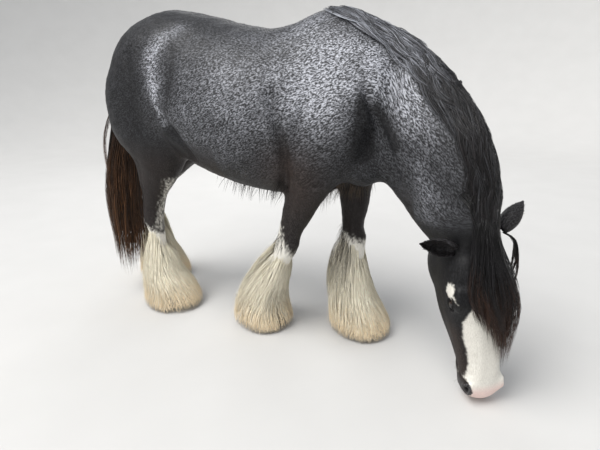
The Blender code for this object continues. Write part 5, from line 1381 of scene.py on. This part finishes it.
def makeEyeball(side, sign):  # a sphere by cos and sin of latitude, with the cornea's low dome
    centre, ahead, up, out = eyeFrame(sign)
    radius = eyes["radius"] - 0.0004
    a = np.linspace(0.02, np.pi - 0.05, 26)[:, None]
    b = np.linspace(0, 2 * np.pi, 40, endpoint=False)[None]
    bulge = radius + 0.0010 * swell(a, 0.55)
    ways = np.cos(a)[..., None] * out + (np.sin(a) * np.cos(b))[..., None] * ahead
    grid = centre + bulge[..., None] * (ways + (np.sin(a) * np.sin(b))[..., None] * up)
    obj = outward(closedGrid("eyeball_" + side, grid))
    local = (pointsOf(obj.data) - centre) / (2.1 * radius)
    uv = np.stack([local @ ahead, local @ up], axis=1) + 0.5
    setMap(obj.data, "eyeMap", uv)
    obj.data.materials.append(wetEye)
    keep(obj, "eye", "eye_" + side)


def makeLids(side, sign):
    # rings round the almond, from the wet rim over the fold to the skin, closed behind
    centre, ahead, up, out = eyeFrame(sign)
    phi = np.linspace(0, 2 * np.pi, lid["sides"], endpoint=False)
    x = lid["half"] * np.cos(phi)
    z = np.where(np.sin(phi) > 0, lid["upper"], lid["lower"]) * np.sin(phi) * (1 - 0.25 * np.cos(phi) ** 2)
    c, s = math.cos(lid["turn"]), math.sin(lid["turn"])
    x, z = x * c - z * s, x * s + z * c
    table = np.array([  # scale, skin share, height over the dome, height over the skin
        (0.88, 0, -0.0030, 0), (0.95, 0, 0.0003, 0), (1.00, 0, 0.0016, 0), (1.06, 0.02, 0.0026, 0.0),
        (1.14, 0.10, 0.0030, 0.002), (1.24, 0.28, 0.0024, 0.0022), (1.36, 0.52, 0.0022, 0.0024),
        (1.50, 0.78, 0.0024, 0.0022), (1.68, 0.95, 0.0020, 0.0012), (1.90, 1.00, 0, 0.0002),
        (2.12, 1.00, 0, -0.0030), (1.90, 1.00, 0, -0.0080), (1.30, 0.50, -0.0080, -0.0100)])
    grid = []
    for scale, onSkin, dome, over in table:
        px, pz = x * scale, z * (1 + (scale - 1) * 1.25)
        r2 = px**2 + pz**2
        ball2 = np.sqrt(np.maximum(eyes["radius"] ** 2 - r2, 1e-8))
        domeHeight = np.maximum(ball2, eyes["radius"] - 0.55 * r2 / eyes["radius"]) + dome
        rays = [skinTree.ray_cast(Vector(centre + ahead * q + up * s + out * 0.08), Vector(-out))
                for q, s in zip(px, pz)]
        skinHeight = np.array([0.08 - ray[3] if ray[0] is not None else 0.0 for ray in rays])
        skinHeight = np.clip(skinHeight, -0.02, 0.03)
        height = domeHeight * (1 - onSkin) + (skinHeight + over) * onSkin
        fold = np.maximum(np.sin(phi), 0)
        height = (height - 0.0016 * fold * math.exp(-(((scale - 1.24) / 0.07) ** 2))
                  + 0.0008 * fold * math.cos(scale * 26) * (1.3 < scale < 1.9))
        grid.append(centre + ahead * px[:, None] + up * pz[:, None] + out * height[:, None])
    grid = np.array(grid)
    obj = outward(meshOf("lids_" + side, grid.reshape(-1, 3),
                         gridQuads(len(grid), lid["sides"], wrapRows=True)))
    points = pointsOf(obj.data)
    tone = coatTone(points)
    ringOf = np.repeat(table[:, 0], lid["sides"])
    tone[:, 0] *= soft(ringOf, 1.3, 1.8)
    tone[:, 1] *= 0.5
    setTone(obj.data, "tone", tone)
    setLie(obj.data, lieCoordinates(points))
    obj.data.materials.append(lidSkin)
    keep(obj, "black_hair")

    # lashes on the upper lid
    draw = np.random.default_rng(71)
    spots = grid[3]
    count = lid["lashes"]
    picks = draw.integers(3, 21, count)
    start = spots[picks] + draw.normal(0, 0.0005, (count, 3))
    lean = np.cos(phi[picks])[:, None]
    u = np.linspace(0, 1, 5)[None, :, None]
    long = draw.uniform(0.012, 0.020, (count, 1, 1))
    way = unit(out + up * 0.35 + ahead * lean * 0.5)
    paths = start[:, None] - way[:, None] * 0.001 + way[:, None] * long * u - up * 0.006 * u**2
    wide = np.full(count, 0.0008)
    tone = np.tile((0.010, 0.009, 0.009), (count, 1))
    keep(strandMesh("lashes_" + side, paths, np.broadcast_to(up, (count, 3)), wide, wide, tone, darkHair,
                    taper(0.5, 0.9)), "black_hair")


lidSkin = coatMaterial("lidSkin", 90.0, 0.36, 0.0006, 0.0)
for side, sign in (("right", -1), ("left", 1)):
    makeEyeball(side, sign)
    makeLids(side, sign)
print("eyes made")

# Hooves
hoofShape = {"height": 0.078, "top": 0.060, "sole": 0.076, "tilt": 0.16, "lean": -0.016, "sides": 48,
             "soleRings": ((0.30, 0.007), (0.70, 0.006), (0.80, 0.004), (0.86, 0.0), (0.97, 0.0)),
             "crownRings": ((0.97, 0.0005), (0.6, 0.002))}


def hornMaterial():  # growth rings round the wall and streaks down it
    material, tree, shader = newMaterial("hoofHorn")
    coords = addNode(tree, "ShaderNodeTexCoord").outputs["Object"]
    rings = addNode(tree, "ShaderNodeMapping", Vector=coords, Scale=(4.0, 4.0, 150.0)).outputs[0]
    ringNoise = addNode(tree, "ShaderNodeTexNoise", Vector=rings, Scale=1.6, Detail=2.0).outputs["Fac"]
    downs = addNode(tree, "ShaderNodeMapping", Vector=coords, Scale=(170.0, 170.0, 9.0)).outputs[0]
    streak = addNode(tree, "ShaderNodeTexNoise", Vector=downs, Scale=1.4, Detail=3.0).outputs["Fac"]
    colour = mixColour(tree, streak, (0.16, 0.115, 0.075, 1), (0.44, 0.36, 0.26, 1))
    colour = mixColour(tree, ringNoise, colour, (0.30, 0.235, 0.165, 1))
    tree.links.new(colour, shader.inputs["Base Color"])
    bumped(tree, shader, ringNoise, 0.0015)
    shader.inputs["Roughness"].default_value = 0.45
    return material


hoofHorn = hornMaterial()


def makeHoof(leg):
    # rings of a slanted cone with growth ridges, a coronet lip and a sole dished behind its bearing edge
    foot = np.array((*feet[leg], 0.0))
    b = np.linspace(0, 2 * np.pi, hoofShape["sides"], endpoint=False)[None]
    wall = np.linspace(0, 1, 22)[:, None]
    radius = (hoofShape["sole"] + (hoofShape["top"] - hoofShape["sole"]) * wall + 0.0007 * np.sin(wall * 40)
              + 0.0020 * swell(wall - 0.95, 0.05))
    heel = 1 - 0.10 * swell(b - np.pi, 0.22)
    x = radius * np.cos(b) * heel + hoofShape["lean"] * wall
    y = radius * np.sin(b) * 0.97
    z = wall * (hoofShape["height"] + np.cos(b) * hoofShape["top"] * hoofShape["tilt"])
    side = np.stack([x, y, z], axis=-1)
    level = np.ones(hoofShape["sides"])
    sole = [np.stack([x[0] * s, y[0] * s, level * h], axis=-1) for s, h in hoofShape["soleRings"]]
    crown = [np.stack([x[-1] * s, y[-1] * s, z[-1] - d], axis=-1) for s, d in hoofShape["crownRings"]]
    obj = outward(closedGrid("hoof_wall_" + leg, foot + np.array(sole + list(side) + crown)))
    obj.data.materials.append(hoofHorn)
    return obj


for leg in legRows:
    keep(makeHoof(leg), "hoof_horn", "hoof_" + leg)

# Loose hair: belly, brisket, elbows, chin and jaw
wisps = [  # middle, half spread, number, length, way, colour
    ((0.05, -0.10, 0.70), (0.14, 0.06, 0.0), 70, 0.042, (-0.45, -0.1, -1), (0.018, 0.014, 0.012)),
    ((0.02, 0.0, 0.70), (0.22, 0.10, 0.0), 110, 0.030, (-0.6, 0, -1), (0.018, 0.014, 0.012)),
    ((0.44, 0.0, 0.72), (0.13, 0.13, 0.03), 300, 0.050, (-0.3, 0, -1), (0.070, 0.050, 0.034)),
    ((0.275, -0.215, 0.76), (0.015, 0.02, 0.03), 60, 0.060, (-0.7, -0.3, -0.8), (0.016, 0.012, 0.010)),
    ((0.340, 0.215, 0.76), (0.015, 0.02, 0.03), 60, 0.060, (-0.7, 0.3, -0.8), (0.016, 0.012, 0.010)),
    ((0.225, -0.125, 0.50), (0.03, 0.05, 0.03), 90, 0.045, (-0.35, 0, -1), (0.050, 0.045, 0.042)),
    ((0.450, 0.120, 0.51), (0.03, 0.05, 0.03), 110, 0.050, (-0.35, 0, -1), (0.025, 0.020, 0.016))]


def makeWisps():
    paths, outs, tones, wides = [], [], [], []
    for place, half, count, length, way, colour in wisps:
        spot = np.array(place) + rng.uniform(-1, 1, (count, 3)) * half
        near, out = nearest(skinTree, spot)
        ways = unit(np.array(way, float) + 0.30 * rng.normal(size=(count, 3)))
        long = length * rng.uniform(0.5, 1.3, count)
        u = np.linspace(0, 1, 6)[None, :, None]
        path = (near[:, None] - out[:, None] * 0.002 + ways[:, None] * long[:, None, None] * u
                + out[:, None] * 0.008 * u - np.array((0, 0, 0.02)) * u**2)
        paths.append(path)
        outs.append(out)
        tones.append(np.array(colour) * np.exp(rng.normal(0, 0.5, (count, 1))))
        wides.append(0.0018 * rng.uniform(0.6, 1.4, count))
    wide = np.concatenate(wides)
    return strandMesh("loose_hair", np.concatenate(paths), np.concatenate(outs), wide, wide * 0.4,
                      np.concatenate(tones), darkHair, taper(0.6, 0.9))


keep(makeWisps(), "black_hair")

whisker = {"count": 150, "length": (0.012, 0.040)}


def makeWhiskers():
    draw = np.random.default_rng(81)
    count = whisker["count"]
    places = np.stack([draw.uniform(0.50, 0.61, count), draw.uniform(-0.05, 0.05, count),
                       draw.uniform(-0.17, -0.10, count)], axis=1)
    near, out = nearest(skinTree, fromHead(places))
    u = np.linspace(0, 1, 5)[None, :, None]
    long = draw.uniform(*whisker["length"], count)[:, None, None]
    way = unit(out + 0.35 * draw.normal(size=out.shape))
    paths = near[:, None] - out[:, None] * 0.001 + way[:, None] * long * u + headAxis * long * 0.3 * u**2
    paths[..., 2] = np.maximum(paths[..., 2], 0.004)
    wide = np.full(count, 0.0006)
    tone = np.tile((0.20, 0.18, 0.16), (count, 1)) * draw.uniform(0.2, 1.6, (count, 1))
    return strandMesh("whiskers", paths, out, wide, wide, tone, darkHair, taper(0.5, 0.9))


keep(makeWhiskers(), "black_hair")
# Places and bodies, and the frame's nodes that pieces replace hidden

# Places, bodies and slots
for obj, slot, nodes in pieces:
    obj.data.transform(Matrix.Translation(shift))
    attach(obj, "root")
    if nodes:
        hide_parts(*nodes)
print(len(pieces), "pieces placed,",
      sum(len(obj.data.loops) - 2 * len(obj.data.polygons) for obj, _, _ in pieces), "triangles")

# Floor, light and camera
studio = {"sides": 96, "flat": 7.0, "radius": 12.0, "rise": 7.5, "world": (0.90, 0.94, 1.0, 1),
          "worldStrength": 0.62}


def makeFloor():
    # a disc whose edge curves up by a quarter turn into a low wall
    turn = np.linspace(0, 2 * np.pi, studio["sides"], endpoint=False)[None]
    bend = np.linspace(0, np.pi / 2, 14)
    rise = studio["flat"] + (studio["radius"] - studio["flat"]) * np.sin(bend)
    radius = np.concatenate([np.linspace(0.01, studio["flat"], 10)[:-1], rise])[:, None]
    height = np.concatenate([np.zeros(9), studio["rise"] * (1 - np.cos(bend))])[:, None]
    grid = np.stack([radius * np.cos(turn), radius * np.sin(turn), height + 0 * turn], axis=-1)
    points = np.vstack([grid.reshape(-1, 3), (0, 0, 0)])
    j = np.arange(studio["sides"])
    hub = np.stack([np.full(len(j), len(points) - 1), j, (j + 1) % len(j)], axis=-1)
    floor = meshOf("floor", points, gridQuads(len(radius), len(j)), hub)
    material, tree, shader = newMaterial("paleFloor")
    coords = addNode(tree, "ShaderNodeTexCoord").outputs["Object"]
    grain = addNode(tree, "ShaderNodeTexNoise", Vector=coords, Scale=3.0, Detail=5.0).outputs["Fac"]
    tree.links.new(mixColour(tree, grain, (0.555, 0.55, 0.54, 1), (0.60, 0.595, 0.585, 1)),
                   shader.inputs["Base Color"])
    shader.inputs["Roughness"].default_value = 0.85
    shader.inputs["Specular IOR Level"].default_value = 0.2
    floor.data.materials.append(material)


def addLight(name, place, aim, size, power, colour=(1, 1, 1)):
    light = bpy.data.lights.new(name, "AREA")
    light.shape = "SQUARE"
    light.size = size
    light.energy = power
    light.color = colour
    obj = bpy.data.objects.new(name, light)
    obj.location = place
    obj.rotation_euler = (Vector(aim) - Vector(place)).to_track_quat("-Z", "Y").to_euler()
    bpy.context.scene.collection.objects.link(obj)


makeFloor()
sun = bpy.data.lights.new("softSun", "SUN")
sun.energy = 2.7
sun.angle = math.radians(38)
sun.color = (1.0, 0.985, 0.96)
sunObject = bpy.data.objects.new("softSun", sun)
sunObject.rotation_euler = Vector((1.3, 1.9, -4.2)).to_track_quat("-Z", "Y").to_euler()
bpy.context.scene.collection.objects.link(sunObject)
addLight("key", (-0.9, -3.6, 3.2), (0.1, 0, 0.7), 2.4, 85, (1.0, 0.985, 0.96))
addLight("back", (-2.6, 3.6, 2.8), (0, 0, 0.9), 2.4, 40)

world = bpy.data.worlds.new("studio")
world.use_nodes = True
world.node_tree.nodes["Background"].inputs["Color"].default_value = studio["world"]
world.node_tree.nodes["Background"].inputs["Strength"].default_value = studio["worldStrength"]
bpy.context.scene.world = world
bpy.context.scene.view_settings.view_transform = "Standard"

view = {"place": (1.194, -1.740, 1.134), "pitch": 17.23, "heading": 28.63, "lens": 26.8}
camera = bpy.data.cameras.new("camera")
camera.lens = view["lens"]
camera.sensor_width = 36.0
camera.sensor_fit = "HORIZONTAL"
camera.clip_end = 100.0
cameraObject = bpy.data.objects.new("camera", camera)
cameraObject.location = Vector(view["place"]) + Vector(shift)
cameraObject.rotation_euler = (math.radians(90 - view["pitch"]), 0, math.radians(view["heading"]))
bpy.context.scene.collection.objects.link(cameraObject)
bpy.context.scene.camera = cameraObject
print("studio set")
